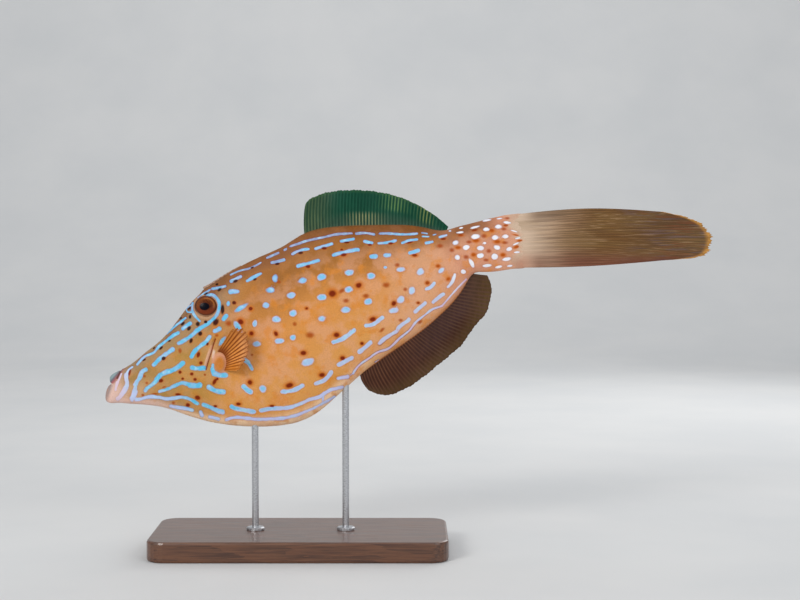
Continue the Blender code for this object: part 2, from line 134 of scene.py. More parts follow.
# Fins: the base along X, and the row of ray tips (x, z). Lean bends the rays forward.
DORSAL_BASE_X = (4.0, 129.0)
DORSAL_TIPS = ((4.2, 296.8), (4.2, 302.0), (6.6, 308.6), (13.4, 313.2), (25.0, 316.9), (40.5, 318.6),
               (59.8, 318.2), (72.8, 316.4), (85.6, 313.2), (98.6, 308.0), (111.5, 301.0),
               (121.8, 293.8), (130.6, 286.0))
DORSAL_RAYS = 45
DORSAL_LEAN = -0.6
ANAL_BASE_X = (52.5, 151.0)
ANAL_TIPS = ((60.0, 142.2), (73.4, 137.0), (88.6, 140.7), (116.2, 159.8), (130.7, 171.3),
             (144.9, 184.6), (153.6, 198.2), (163.1, 209.6), (167.8, 223.5), (168.4, 234.9),
             (165.0, 243.4))
ANAL_RAYS = 48
ANAL_LEAN = -1.5
FIN_ROWS = 30
FIN_RAY_COLUMNS = 6
FIN_ROOT_DEPTH = 1.6
FIN_RIPPLE = 4.0
FIN_RIPPLE_WAVES = 2.2
# Waves are (height, rate, start), in shares of the fin.
FIN_EDGE_WAVES = ((0.006, 57.0, 0.0), (0.005, 131.0, 1.0))

TAIL_ROOT = ((181.0, 296.1), (183.5, 250.3))
TAIL_MIDDLE = ((250.0, 302.2), (253.0, 251.8))
TAIL_END = ((316.8, 299.2), (331.0, 296.6), (344.1, 292.8), (353.0, 288.2), (359.6, 280.7),
            (361.2, 273.2), (359.4, 266.5), (354.0, 261.5), (345.0, 259.2), (330.0, 258.0),
            (318.0, 257.4))
TAIL_RAYS = 12
TAIL_BRANCHES = 4
TAIL_BRANCH_COLUMNS = 5
TAIL_ROWS = 110
TAIL_RIPPLE = 2.5
TAIL_RAY_WAVES = ((0.006, 43.0, 0.0), (0.003, 91.0, 1.0))
TAIL_EDGE_WAVES = ((0.004, 41.0, 0.7), (0.003, 97.0, 0.0), (0.002, 171.0, 0.0))

PECTORAL_ROOT_OUT = 17.0
PECTORAL_FLARES = {"left": math.radians(40.0), "right": math.radians(33.0)}
PECTORAL_RAYS = 12
PECTORAL_ROWS = 50
PECTORAL_RAY_COLUMNS = 9
PECTORAL_CUP = 0.8

# The studio's floor, which curves up into a wall behind, and the point that the lamps face.
FLOOR_HALF_WIDTH = 9000.0
FLOOR_FRONT = -9000.0
FLOOR_BACK = 1700.0
WALL_CURVE = 1700.0
WALL_CURVE_STEPS = 24
WALL_TOP = 5000.0
LAMP_TARGET = (60.0, 0.0, 200.0)
# Lamps: name, place, the point that it faces, size, watts and colour.
LAMPS = (
    ("key", (-1200.0, -1700.0, 1200.0), LAMP_TARGET, 750.0, 25.5, (1.0, 0.98, 0.95)),
    ("fill", (1300.0, -1500.0, 700.0), LAMP_TARGET, 1200.0, 8.5, (0.95, 0.98, 1.0)),
    ("top", (100.0, 350.0, 1500.0), LAMP_TARGET, 1000.0, 4.0, (1.0, 1.0, 1.0)),
    ("back", (800.0, 1200.0, 900.0), LAMP_TARGET, 900.0, 6.0, (1.0, 1.0, 1.0)),
    ("backdrop", (100.0, 1300.0, 2600.0), (100.0, 3400.0, 1500.0), 2000.0, 24.0, (1.0, 1.0, 1.0)),
)

# Places read from the picture, in its pixels. Strokes are (half width, points).
PECTORAL_ROOT_PX = ((217.6, 351.4), (221.6, 352.4), (224.6, 355.4), (226.2, 360), (226.2, 365),
                    (224.6, 370.6))
PECTORAL_TIPS_PX = ((231, 330), (235.6, 327.6), (241.4, 327.8), (246.4, 331), (247.8, 338),
                    (248.8, 345), (248.8, 351), (246.4, 357.6), (244, 362.6), (241.6, 366.6),
                    (239, 370.8))
HEAD_STROKES_PX = (
    (0.8, ((121.4, 373.8), (119.6, 378.4), (117.8, 382))),
    (1.4, ((117.4, 382.6), (116.2, 386.4), (115.6, 389.6))),
    (1.1, ((132.4, 366.8), (128.4, 370.2), (126.4, 374.6))),
    (2, ((126.2, 374.6), (126, 378.6), (127.2, 383), (125.6, 388))),
    (2.4, ((125.6, 388), (123.8, 391.4), (121.8, 394.4))),
    (1.8, ((121.8, 394.4), (120, 396.8), (117.8, 398.8))),
    (2.3, ((145.4, 369.7), (141.5, 372.6), (139.4, 378), (136.8, 381.8), (135.6, 384.4))),
    (1.6, ((135.6, 387.2), (134.9, 390.4))),
    (2.7, ((134.8, 391.6), (133.8, 395), (132.2, 398.6))),
    (1.6, ((136, 399.6), (141.4, 398.6), (148.5, 396.4))),
    (1.8, ((148.5, 396.6), (157, 397.2), (168, 398.8), (178, 397.4), (186, 397.8),
           (192.4, 400.4), (197.4, 403.2))),
    (1.4, ((137.2, 364.2), (141.2, 359.6), (145.5, 355.8), (149.5, 354.3),
           (153.4, 352.6), (157, 348.6), (162, 344), (168.5, 339))),
    (1.8, ((168.5, 339), (173, 335.6), (178, 332.9))),
    (1.3, ((166.5, 333.2), (172.4, 328.4), (178.2, 323.5), (185.3, 318))),
    (1.9, ((182.8, 328.6), (190.2, 323.3))),
    (2.2, ((153.8, 364.4), (158.2, 360.2), (163, 356), (168, 352.6), (172.7, 349.4))),
    (2.2, ((178.8, 343.6), (185.2, 340), (192.2, 334.6), (200, 328.5))),
    (1.9, ((200, 328.5), (208, 323.4), (214.2, 318.4))),
    (1.6, ((214.2, 318.4), (218.2, 312), (219.4, 304.4), (217.2, 298.4), (212.2, 294.8),
           (207.2, 295.4))),
    (1.3, ((192.6, 303.2), (192.2, 309), (194.6, 315.6), (199.6, 321))),
    (0.7, ((192.6, 303.2), (189, 306.4), (186, 309.6), (187.8, 312.2), (192.4, 311.6))),
    (2.1, ((209.4, 336.8), (206.4, 341), (201, 345.6), (196, 349.8), (191.4, 356.4))),
    (2.5, ((215, 331), (219.2, 328.8))),
    (2.1, ((223.6, 319.4), (226.4, 315.7))),
    (2.5, ((183.2, 363), (173.4, 369.8), (161, 375), (156.6, 379.8))),
    (2.1, ((156.6, 379.8), (152.6, 384.4), (147.4, 388.4), (145.8, 390.6))),
    (1.5, ((159.4, 391.6), (167.4, 389.2))),
    (2.1, ((167.4, 389.2), (175.4, 385.4), (183, 382.8), (190, 385.2))),
    (2.7, ((190, 385.2), (194.6, 385.8), (199.6, 385))),
    (2.3, ((192.4, 367.6), (198, 368.6), (204.2, 368.2))),
    (1.3, ((212.9, 364.6), (212.3, 369))),
    (1.9, ((212.3, 369), (212.6, 371.6), (213.8, 373.6))),
    (2.4, ((213.8, 373.4), (219.4, 375.2), (225.6, 375))),
    (2.6, ((209, 387), (213, 389.8), (218.2, 391.6), (223.4, 391.8))),
    (2.4, ((203.6, 404.6), (210.3, 407), (216.6, 410.4), (222.4, 411.8))),
    (1.8, ((170.4, 406.4), (178, 407.4), (185, 408.4), (192.4, 410.4))),
    (0.85, ((197.9, 297.7), (204, 293.4), (209.5, 289.9))),
    (1.45, ((212.6, 288.6), (218.2, 288), (225.2, 286.2))),
    (2.1, ((200.4, 411.8), (202.2, 415))),
)
BELLY_STROKES_PX = (
    (1.7, ((209.6, 416.6), (214, 417.6), (218.4, 418.8))),
    (1.7, ((226.6, 419.6), (232, 418), (239.4, 417.4), (250.4, 418.9), (270.5, 418.9),
           (284.7, 417.8), (301, 413.6))),
    (1.4, ((301, 413.6), (312, 409), (321, 404.4), (328, 400.6), (335, 396.5))),
    (2, ((261, 410.4), (270, 408.8), (277.6, 408.3), (286, 408), (293, 406.5),
           (308.3, 400))),
    (1.7, ((308.3, 400), (314, 398.4), (320.6, 396.2), (325, 393), (330.5, 389.9),
           (336, 388.4), (342.2, 387))),
    (0.7, ((320.6, 396.4), (323.4, 399.6), (325.4, 401.6))),
    (2.3, ((231.4, 406.6), (236, 408.4), (242.2, 409.8), (253.4, 411.8))),
    (2.5, ((243.6, 386.6), (247, 389.6), (250.4, 392.2))),
    (2.1, ((242.4, 359.4), (246, 360.6), (249.4, 364.2), (251.9, 369))),
    (2.2, ((282.6, 391.8), (290, 391), (296.4, 389), (302.2, 385.6))),
    (2, ((315.8, 383.5), (323.5, 380.6), (331.2, 372.2))),
    (2, ((338.2, 378.5), (347.3, 376.4))),
    (2.2, ((338.9, 364.5), (351.6, 358.2))),
    (2.2, ((359.8, 351.6), (365, 347.6), (370.4, 342.6))),
    (2, ((379.4, 343.3), (386, 337.4), (396.2, 331.4))),
    (2, ((399, 327), (404, 323.4), (408.8, 319.6))),
    (2, ((415.2, 311.6), (420, 307.2), (425, 303.2))),
    (1.9, ((433.4, 302.2), (438.2, 297.8), (443, 294.2))),
    (1.7, ((426.2, 289), (431, 287), (434.2, 283.2))),
    (1.7, ((448, 286.8), (452.2, 282.2), (454.8, 274.6))),
    (1.9, ((366.3, 325.6), (373.6, 324.2), (378, 321), (382.2, 317.6))),
    (2.2, ((333.6, 342.6), (343, 338.6), (354, 330.4))),
    (1.1, ((353, 373.6), (360, 364.4), (368, 359), (379, 351.6), (386, 349.6),
           (399.3, 338.4), (410, 329.6), (416, 322), (425, 314.8), (432, 309.6),
           (441.8, 306.2))),
    (0.9, ((441.8, 306.2), (448.8, 298), (456.6, 289.2), (466.4, 279.2))),
    (0.9, ((375.6, 362), (378.6, 360.4))),
)
BACK_STROKES_PX = (
    (0.9, ((230.6, 274.7), (239.8, 270.8), (248, 268.9), (261.3, 262.3))),
    (1.1, ((266.7, 257.9), (278.3, 252.9))),
    (1.1, ((284.4, 249.8), (286, 249))),
    (1.2, ((290.7, 246.2), (308, 240.6), (322, 237.6), (333.3, 235), (351.6, 233.2))),
    (1.2, ((356.2, 233.6), (365, 233), (374, 234.4))),
    (1.2, ((380, 233.6), (390, 233.6), (402, 234.4), (417, 233.6))),
    (0.9, ((422.4, 232.8), (427.3, 233.6))),
    (0.9, ((422.6, 236.4), (428.7, 236.6))),
    (0.6, ((433, 235), (436, 234.2))),
    (1.6, ((231.2, 281.2), (236, 278.6), (240.6, 276.6))),
    (1.6, ((247.2, 280.9), (253.8, 277.2), (260.9, 273.5))),
    (1.5, ((272, 262.7), (284, 259.8))),
    (1.5, ((292.4, 254), (300.3, 250.4), (308.4, 249.2))),
    (1.5, ((315.6, 248.6), (323, 246.4), (331.8, 243.8))),
    (1.5, ((341, 241.2), (353.4, 239))),
    (1.5, ((364.6, 241.4), (368, 242.2), (372, 242.8))),
    (1.4, ((378.4, 243.4), (388, 242.4), (395.8, 240.6))),
    (1.3, ((402.4, 243), (408, 240.8), (417, 239.4))),
    (1.5, ((426.2, 243), (432.2, 241.8))),
    (1.3, ((439.8, 237), (446.4, 235.2))),
    (1.9, ((297.8, 266.2), (306, 263.9), (318.4, 260.5))),
    (1.9, ((333.4, 255.2), (345, 251.9), (358, 249.6))),
    (2.3, ((371.4, 256.8), (375.6, 256.2))),
    (2.2, ((385.4, 255.2), (389.6, 255.2))),
    (1.8, ((410, 252.9), (418.4, 250.6))),
    (2.3, ((230.6, 292), (237.4, 291.4))),
)
# Ovals are (x, y, length, width, tilt in degrees, up to the right).
FLANK_OVALS_PX = (
    (274.7, 278.4, 8, 6, 80), (270, 290, 9, 6, 10), (302, 280.7, 9, 6, 15),
    (322, 276.8, 9, 6, 15), (349.2, 272.6, 9, 6, 10), (370.9, 275.8, 8.5, 6.5, 0),
    (385.2, 267.3, 3.4, 2.6, 0), (401, 269.8, 8, 5.4, 10), (420.3, 271.6, 7.4, 6, 30),
    (228.4, 303.8, 5.4, 4, 90), (241.4, 307.4, 15, 4.6, 30), (265.4, 305.2, 6, 6.4, 90),
    (291.2, 294.9, 8.5, 6.4, 10), (321.8, 297.6, 8.5, 6.4, 0), (348.8, 290, 8.5, 6.4, 10),
    (368.4, 301.4, 8, 6, 5), (411.9, 290.6, 8.4, 6.4, 80), (401, 299.5, 8.6, 6.4, 45),
    (393.4, 310.2, 9, 5.6, 10), (293, 312.7, 7.6, 6.6, 20), (276.4, 319.6, 8.2, 6.8, 0),
    (254.8, 323.8, 7.2, 5, 85), (321.8, 318.7, 8.5, 6.6, 10), (345.7, 309.8, 10, 6, 10),
    (256.8, 343.7, 8, 6, 0), (279.5, 341, 9, 5.6, 12), (292.5, 337.5, 6.4, 6, 0),
    (308, 362, 12, 7.4, 15), (262.8, 389, 8, 7.6, 0), (238, 326.8, 14, 5.2, -56),
    (222.2, 341.2, 10.5, 4.4, 58), (441.2, 270.4, 7.5, 4.4, 46),
    (351, 331, 3, 3, 0),
)
PEDUNCLE_OVALS_PX = (
    (460, 232.4, 7, 2, 6), (450, 231, 2.4, 1.4, 0), (461, 228, 4, 1.5, 15),
    (475, 227.2, 10, 2.4, 15), (487.2, 220.2, 8.5, 2, 10), (499.5, 218.4, 7, 1.8, 4),
    (506.7, 222.4, 7.4, 2.6, -8), (498.2, 226.5, 7.4, 4.4, 0), (486, 229.2, 6, 4, 0),
    (474.8, 236.5, 9, 4.6, 5), (455.5, 242.7, 6.4, 5, 10), (465.4, 247.7, 7, 5, 10),
    (480.2, 248, 7, 5, 0), (484.6, 243, 3.4, 2.6, 0), (494.7, 237.5, 7, 4.6, 0),
    (505.5, 236.5, 6.6, 4, -6), (497, 247.4, 6.6, 4.8, -10), (509.2, 249, 6, 4.2, 10),
    (480.6, 255.4, 7.6, 5, 0), (494.7, 256.6, 6.4, 5.4, 0), (506.4, 259.2, 9, 3.6, 10),
    (457.4, 257.5, 6, 5.4, 0), (471.6, 263, 9.6, 4, -62), (487, 265.7, 9.6, 3.2, 4),
    (499.2, 266.8, 7.6, 2.6, 12), (509.4, 265.9, 5.4, 2, 8), (463.2, 271.7, 5.4, 4.4, 0),
    (514, 231, 7, 1.5, -16), (517.8, 238.2, 5.4, 1.6, 10), (516, 243.8, 6.4, 1.6, 24),
    (517, 252.2, 6, 1.6, 6),
)
DARK_SPOTS_PX = (
    (234.2, 302.8, 4.6, 4, 0), (222.5, 309.4, 10.5, 4, 90), (215.8, 322.2, 8, 5.8, 60),
    (205.6, 321.9, 3.8, 3.4, 0), (197.8, 324, 5.2, 4.4, 90), (190, 316.7, 4.6, 3, 80),
    (189, 328.4, 5.4, 3.6, 50), (182.6, 323.7, 5.4, 3, 40), (180.6, 318, 3, 2, 40),
    (200.2, 333.6, 5, 4.6, 60), (191, 340.8, 5.6, 3.6, 70), (169.5, 340.8, 3.4, 2, 30),
    (161, 348, 5.4, 2.6, 45), (153.8, 348, 3.4, 1.8, 45), (144, 359.7, 4.4, 2, 35),
    (163.6, 358.4, 5, 4, 30),
    (129.6, 372.5, 7.6, 2.4, 75), (161, 380.7, 5, 4, 20), (180, 372.2, 3.6, 3.4, 0),
    (191.7, 374, 3.8, 3.4, 0), (195, 379.4, 3.8, 3.4, 0), (182.6, 378.7, 3, 2.6, 0),
    (198.3, 354.6, 6, 3.6, 75), (200.9, 363, 4, 3.8, 0), (207.4, 344, 3.6, 2.6, 60),
    (178, 394.4, 6.4, 2.8, 0),
    (197.6, 397.7, 6, 4.6, -20), (187.8, 405, 4.6, 4.2, 0),
    (215.3, 406.2, 4, 2.6, 0), (238.5, 404, 5, 3.2, 0), (272, 406, 5, 2.6, 0),
    (214.6, 381.6, 7.4, 3.6, 60), (217.4, 379, 2.6, 2.6, 0), (250, 382.3, 5.2, 5, -45),
    (289.5, 385.4, 8, 5, 14), (206, 293.7, 4.8, 2.6, 35), (219.4, 289.7, 5.2, 3, 35),
    (216.9, 284.3, 3.2, 2.4, 30), (189.3, 308.2, 4.4, 2.4, 45),
    (235.4, 281.1, 5.6, 3.2, 25), (255, 279.3, 4.4, 2.6, 20), (252.2, 267.7, 4, 1.8, 20),
    (277.5, 263.9, 5, 2.6, 10), (300.8, 252.9, 5.4, 3, 10), (308, 266.5, 5.4, 3.4, 0),
    (324.2, 248.2, 5.8, 3.2, 0), (341.7, 249.5, 3, 2.2, 0), (343.8, 254.8, 6.6, 3.6, 10),
    (346.6, 242.4, 6, 2.2, 0), (369.8, 244.8, 4.6, 2.4, 0), (390.8, 243.4, 6, 2.6, 5),
    (409.8, 242.4, 7, 2, 12), (414.7, 255.3, 5.4, 3, 0), (332.4, 293.4, 8, 7, 0),
    (358.7, 285.3, 6.4, 5.4, 20), (306.6, 308.3, 3.4, 2.8, 0), (240.6, 321.8, 6.4, 5.8, -40),
    (251.5, 333.4, 4.8, 4.6, 0), (250.6, 308.6, 4.6, 4.2, 0), (276, 333.7, 5.4, 3.8, -60),
    (303.4, 353, 6, 4.6, 0), (336.6, 335, 6, 5, 0), (342.6, 358.2, 5, 4.4, 0),
    (322, 375, 6, 4.4, 10), (362, 343.5, 3.6, 3.2, 0), (372.8, 319.3, 6.6, 4.8, 10),
    (393.9, 303.4, 5.2, 4.6, 50), (427.4, 282.9, 4, 3.6, 0), (418.2, 302.8, 3.2, 2.4, 0),
    (438, 266, 4, 3, 0), (448.3, 279, 4, 3.2, 30), (460.7, 235.2, 6, 2.6, 0),
    (476, 240.6, 6, 3.2, 0), (457.8, 247.6, 5, 2.8, 0), (491.8, 230.4, 4.6, 3.2, 0),
    (497.2, 241.7, 6, 3.2, 0), (473.5, 254.7, 4, 3.2, 0), (503, 255, 4.6, 3.4, 0),
    (520.2, 240.6, 5, 2.4, 10), (516.6, 246.8, 5.4, 2.6, 20), (367, 374, 1.5, 1.2, 0),
    (443.4, 239, 6, 2.4, 5), (474.6, 230.2, 7, 2.4, 12),
    (505.8, 225.4, 5, 2.4, 0), (516.4, 235.2, 6, 1.2, -14),
)
RUST_SPOTS_PX = (
    (228.4, 323.4, 6, 5.6, 0), (180, 350.6, 3.4, 5, 0), (173.4, 403, 3.2, 2.8, 0),
    (204.8, 374.8, 2.4, 2.2, 0), (278.7, 282, 4, 3, 0), (397.2, 265, 5, 3.6, 0),
    (341.7, 290.8, 7, 4, 30), (346, 300.7, 6, 4, 0), (294.7, 323.9, 4, 4, 0),
    (405.3, 289.4, 4, 3.6, 0), (400.7, 320.3, 4, 3, 0), (252, 354.8, 2.6, 2.4, 0),
    (216.8, 335.4, 3.4, 2.8, 0), (386, 285, 7, 5, 0), (310, 335, 8, 6, 0),
    (382, 330, 6, 3, 40), (420, 322, 5, 3, 40), (366, 296, 6, 4, 0),
    (440, 246, 6, 4, 0), (452, 250, 5, 4, 0), (484, 236, 5, 4, 0),
    (469, 242, 5, 3, 0), (489, 251, 5, 4, 0), (486, 260, 5, 3, 0),
    (466, 257, 5, 4, 0), (504, 229, 5, 3, 0), (505, 242.6, 6, 3, 0),
    (224, 351, 4.6, 5, 0), (144.4, 376.2, 3, 2.6, 0), (146.8, 383, 2.8, 2.6, 0),
    (142.9, 395, 3, 2.6, 0), (155, 393.8, 7, 1.8, 0), (164, 387, 4, 1.6, 20),
    (507.2, 218.2, 5, 2.6, 0),
)
SKIN_EDGE_PX = ((508, 213), (511, 221), (509, 226.5), (513, 229.4), (521, 234.6),
                (515.5, 237.2), (523.5, 240.4), (517, 243.2), (520.5, 247.4), (518, 249.6),
                (521.5, 251.6), (514.5, 254.6), (511.5, 261), (517, 266.5))
GILL_SLIT_PX = ((215.4, 338.8), (212.8, 346), (210.6, 354), (208, 362), (205.8, 369.6))
GILL_SLIT_HALF_PX = 0.65
LIP_FOLD_HALF_PX = 0.9
LOBE_CENTRE_PX = (219.6, 363.4)
LOBE_HALF_PX = (7, 9.6)
NOSTRILS_PX = ((189.2, 308.4), (186.2, 314.4))
LIP_FOLD_PX = ((120.8, 369.6), (119.2, 373.8), (117.2, 378.2))
# The gill slit's front and rear edges, where painted light and a painted highlight go.
GILL_FRONT_EDGE_PX = ((211.4, 347), (208.4, 355), (206, 362.6), (204.4, 369.4))
GILL_REAR_EDGE_PX = ((213.9, 351.2), (213.4, 354), (213, 357.6))
CHEEK_CENTRE_PX = (188, 374)
# The fold beside the gill slit: its distance from the slit and its width.
GILL_FOLD_PX = 2.4
GILL_FOLD_WIDTH_PX = 1.4
# The skin blends into the tail fin between these distances from its jagged end.
SKIN_EDGE_BLEND_PX = (-8, 5)
# The dark back ends this far down, from 0 on the back to 1 on the belly, at these x.
DARK_BACK_PX = (180, 260)
DARK_BACK_DOWN = (0.36, 0.16)
# Below the back the pale marks of the rear start this much nearer to the head.
REAR_LEAD_PX = 60
# On the right side waves shift the marks, but not near the fan's root, where the gill is: the
# shifted axis and the height, then the axis, length and start of the wave.
MARK_WAVES_PX = ((0, 7, 1, 21, 0.6), (0, 5, 0, 33, 2.0), (1, 5, 0, 26, 0.8), (1, 3, 1, 17, 1.7))
FAN_CENTRE_PX = (212, 360)
FAN_REACH_PX = (16, 40)

# Colours as 0-255 display values.
HEAD_TAN = (157, 121, 68)
BROW_GREY = (142, 124, 104)
CHEEK_GOLD = (182, 136, 58)
FLANK_ORANGE = (211, 142, 73)
BELLY_ORANGE = (216, 152, 82)
BACK_BROWN = (124, 76, 38)
UPPER_ORANGE = (148, 94, 40)
REAR_PINK = (214, 161, 127)
# The belly's pale pink edge, painted paler still as painted light against the shade of the underside.
LIT_BELLY_EDGE_PINK = (250, 214, 178)
SNOUT_TAN = (200, 162, 122)
SNOUT_PINK = (226, 190, 178)
LIP_TEAL = (138, 158, 160)
LIP_SLATE = (100, 104, 116)
LIP_GREY = (142, 128, 126)
LIP_RED = (150, 74, 78)
PEDUNCLE_PINK = (206, 143, 114)
PEDUNCLE_PALE = (228, 170, 136)
TAIL_ROOT_BEIGE = (203, 177, 153)
TAIL_EDGE_PINK = (184, 136, 112)
EYELID_BEIGE = (188, 146, 112)
MOUTH_RED = (104, 48, 48)
LOBE_PINK = (212, 148, 122)
LOBE_ORANGE = (194, 114, 40)
# Painted light on the gill slit's edges: a lit pale pink front edge and a white painted highlight on the
# rear edge.
GILL_LIT_PINK = (234, 188, 164)
GILL_HIGHLIGHT = (240, 216, 204)
MOTTLE_PINK = (218, 161, 127)
MOTTLE_ORANGE = (214, 132, 46)
# Painted shade: a dark line along the crease beside the upper lip.
CREASE_SHADE = (92, 52, 50)
# Painted shade: the gill slit's opening is drawn as a dark red-brown line.
SLIT_SHADE = (128, 36, 6)
MARK_CYAN = (92, 188, 226)
MARK_SKY = (118, 191, 230)
MARK_PALE = (176, 206, 234)
MARK_LILAC = (188, 198, 227)
MARK_WHITE = (240, 240, 244)
PALE_CYAN = (176, 230, 246)
RIM_LILAC = (196, 192, 228)
RIM_BLUE = (112, 142, 206)
RIM_TEAL = (98, 160, 206)
RIM_VIOLET = (166, 160, 216)
MARK_OUTLINE = (128, 66, 44)
BELLY_LINE_LILAC = (200, 208, 248)
BACK_LINE_GREY = (138, 156, 188)
ANAL_LINE_PINK = (222, 192, 212)
LIP_LINE_WHITE = (216, 196, 212)
SPOT_BROWN = (120, 33, 0)
SPOT_DARK = (60, 6, 0)
SPOT_BLACK = (18, 3, 0)
SPOT_HALO = (198, 106, 28)
PEDUNCLE_RUST = (176, 80, 14)
RUST = (160, 64, 0)
DORSAL_GREEN = (5, 62, 44)
DORSAL_GREY = (38, 66, 52)
DORSAL_OLIVE = (42, 66, 46)
DORSAL_EDGE = (52, 92, 52)
DORSAL_RAY_GREEN = (24, 77, 57)
DORSAL_RAY_GREY = (62, 90, 70)
DORSAL_RAY_TAN = (86, 102, 66)
DORSAL_RAY_PALE = (150, 152, 104)
DORSAL_RAY_LIME = (100, 136, 74)
DORSAL_RAY_YELLOW = (174, 182, 100)
DORSAL_FOOT_BROWN = (120, 80, 42)
ANAL_BROWN = (62, 34, 22)
ANAL_VIOLET = (66, 42, 38)
ANAL_OLIVE = (84, 62, 32)
ANAL_RAY_BROWN = (98, 62, 44)
ANAL_RAY_DIM = (84, 58, 44)
ANAL_FOOT_ORANGE = (176, 108, 58)
TAIL_TAN = (156, 124, 94)
TAIL_BROWN = (108, 73, 34)
TAIL_DARK = (94, 68, 42)
TAIL_OLIVE = (128, 100, 56)
TAIL_CREAM = (222, 200, 172)
TAIL_STREAK_DARK = (92, 62, 42)
TAIL_STREAK_LIGHT = (196, 160, 122)
TAIL_STREAK_VIOLET = (112, 92, 98)
TAIL_STREAK_RED = (128, 72, 44)
# Painted shade along the tail fin's top edge.
TAIL_TOP_SHADE = (112, 86, 64)
TAIL_LOW_PINK = (132, 90, 70)
TAIL_LOW_RED = (112, 62, 46)
TAIL_JOINT_BROWN = (92, 62, 46)
TAIL_TIP_YELLOW = (192, 136, 62)
PECTORAL_AMBER = (222, 142, 72)
PECTORAL_GOLD = (206, 128, 54)
PECTORAL_PINK = (232, 164, 108)
PECTORAL_UPPER = (180, 104, 34)
PECTORAL_LOWER = (196, 116, 32)
PECTORAL_RAY_GOLD = (156, 92, 20)
PECTORAL_RAY_BROWN = (120, 54, 4)
PECTORAL_RAY_AMBER = (168, 92, 14)
PECTORAL_ROOT_BROWN = (124, 58, 18)
IRIS_DARK = (72, 27, 6)
IRIS_BROWN = (112, 58, 26)
IRIS_STREAK = (136, 80, 44)
IRIS_RED = (116, 46, 26)
IRIS_GOLD = (164, 102, 48)
EYE_RIM = (88, 50, 34)
EYE_LID_DARK = (84, 44, 32)
EYE_LID_LIGHT = (176, 134, 102)
PUPIL_BLACK = (2, 3, 14)
SPINE_DARK = (132, 92, 66)
SPINE_LIGHT = (172, 140, 118)
WOOD_LIGHT = (92, 56, 36)
WOOD_DARK = (66, 38, 25)
WOOD_GRAIN = (112, 72, 46)
WOOD_PORE = (38, 21, 14)
STEEL_DARK = (176, 177, 180)
STEEL_LIGHT = (206, 207, 210)
FLOOR_DARK = (206, 207, 207)
FLOOR_LIGHT = (213, 213, 212)

# Spans are (measure, from, to): nothing at the first number, full at the second. A bell is
# (measure, middle, width, "bell"). px and py are the picture's pixels, down goes from 0 on the back
# to 1 on the belly, out from 0 at a fin's base to 1 at its edge.
UPPER_LIP = (("lip_front", 119, 114), ("py", 385, 382.5))
ALONG_DORSAL_FIN = ("down", 0.10, 0.07)
ALONG_ANAL_FIN = (("down", 0.87, 0.92), ("px", 335, 365))
REAR_OF_ANAL_FIN = ("px", 395, 445)
BEFORE_PEDUNCLE = ("px", 450, 430)
BEFORE_FINS = ("px", 330, 250)
ON_PEDUNCLE = ("px", 440, 462)
BEHIND_SNOUT = ("px", 116, 134)
BEHIND_HEAD = ("px", 200, 245)
ON_BACK = ("down", 0.30, 0.10)
BEFORE_SKIN_EDGE = ("past_skin", 0, -3)
GILL_EDGE_PX = (1.9, 0.6)

# Zones are layers of colour, lowest first: the colour, its amount, and the spans that limit it.
SKIN_ZONES = (
    (FLANK_ORANGE, 1.0),
    (BELLY_ORANGE, 1.0, ("down", 0.45, 0.85)),
    (HEAD_TAN, 1.0, ("head", 250, 190)),
    (BROW_GREY, 0.6, ("down", 0.34, 0.14), ("px", 250, 215)),
    (SNOUT_TAN, 0.8, ("px", 172, 136), ("down", 0.36, 0.64)),
    (CHEEK_GOLD, 0.8, ("cheek", 0, 32, "bell")),
    (UPPER_ORANGE, 0.92, ("down", 0.50, 0.14), ("px", 205, 275)),
    (UPPER_ORANGE, 0.4, ("down", 0.48, 0.22), ("px", 378, 30, "bell")),
    (BACK_BROWN, 0.9, ("down", 0.12, 0.04), ("px", 150, 210)),
    (REAR_PINK, 0.7, ("px", 365, 420), ("down", 0.16, 0.34)),
    (BACK_BROWN, 0.5, ("down", 0.28, 0.08), ("px", 400, 40, "bell")),
    (PEDUNCLE_PINK, 1.0, ("px", 425, 470)),
    (PEDUNCLE_PALE, 0.25, ("px", 488, 512), ("down", 0.10, 0.5)),
    (BACK_BROWN, 0.85, ("down", 0.50, 0.08), ("px", 438, 458), ("px", 508, 476)),
    (TAIL_ROOT_BEIGE, 1.0, ("past_skin", *SKIN_EDGE_BLEND_PX)),
    # Painted shade: the top edge of the tail's root is made darker.
    (TAIL_EDGE_PINK, 0.5, ("py", 226, 215), ("px", 504, 514)),
    (TAIL_EDGE_PINK, 1.0, ("py", 250, 265), ("px", 500, 522)),
    # Painted light: the pale pink belly edge is made paler to lift the underside's shade.
    (LIT_BELLY_EDGE_PINK, 0.85, ("down", 0.90, 0.965), ("px", 400, 330)),
    (SNOUT_PINK, 0.9, ("snout", 138, 112)),
    (SNOUT_PINK, 0.9, ("down", 0.80, 0.95), ("px", 200, 140)),
    (LIP_RED, 0.92, *UPPER_LIP),
    (LIP_SLATE, 0.9, *UPPER_LIP, ("lip_across", 115, 111.8)),
    (LIP_TEAL, 0.9, *UPPER_LIP, ("lip_across", 112.2, 109.8)),
    (LIP_GREY, 0.85, ("chin", 109, 104.6), ("py", 383.5, 386)),
    (MOUTH_RED, 1.0, ("inside", 0.15, 0.6)),
    (EYELID_BEIGE, 0.85, ("eye", 1.30, 1.10)),
    # Painted light: the gill slit's front edge is lit pale pink and its rear edge has a white painted
    # highlight.
    (GILL_LIT_PINK, 0.68, ("gill_front", *GILL_EDGE_PX)),
    (GILL_HIGHLIGHT, 0.68, ("gill_rear", *GILL_EDGE_PX)),
    (LOBE_ORANGE, 0.8, ("lobe", 0.9, 0.5)),
    (LOBE_PINK, 0.85, ("lobe", 0.95, 0.22, "bell")),
)
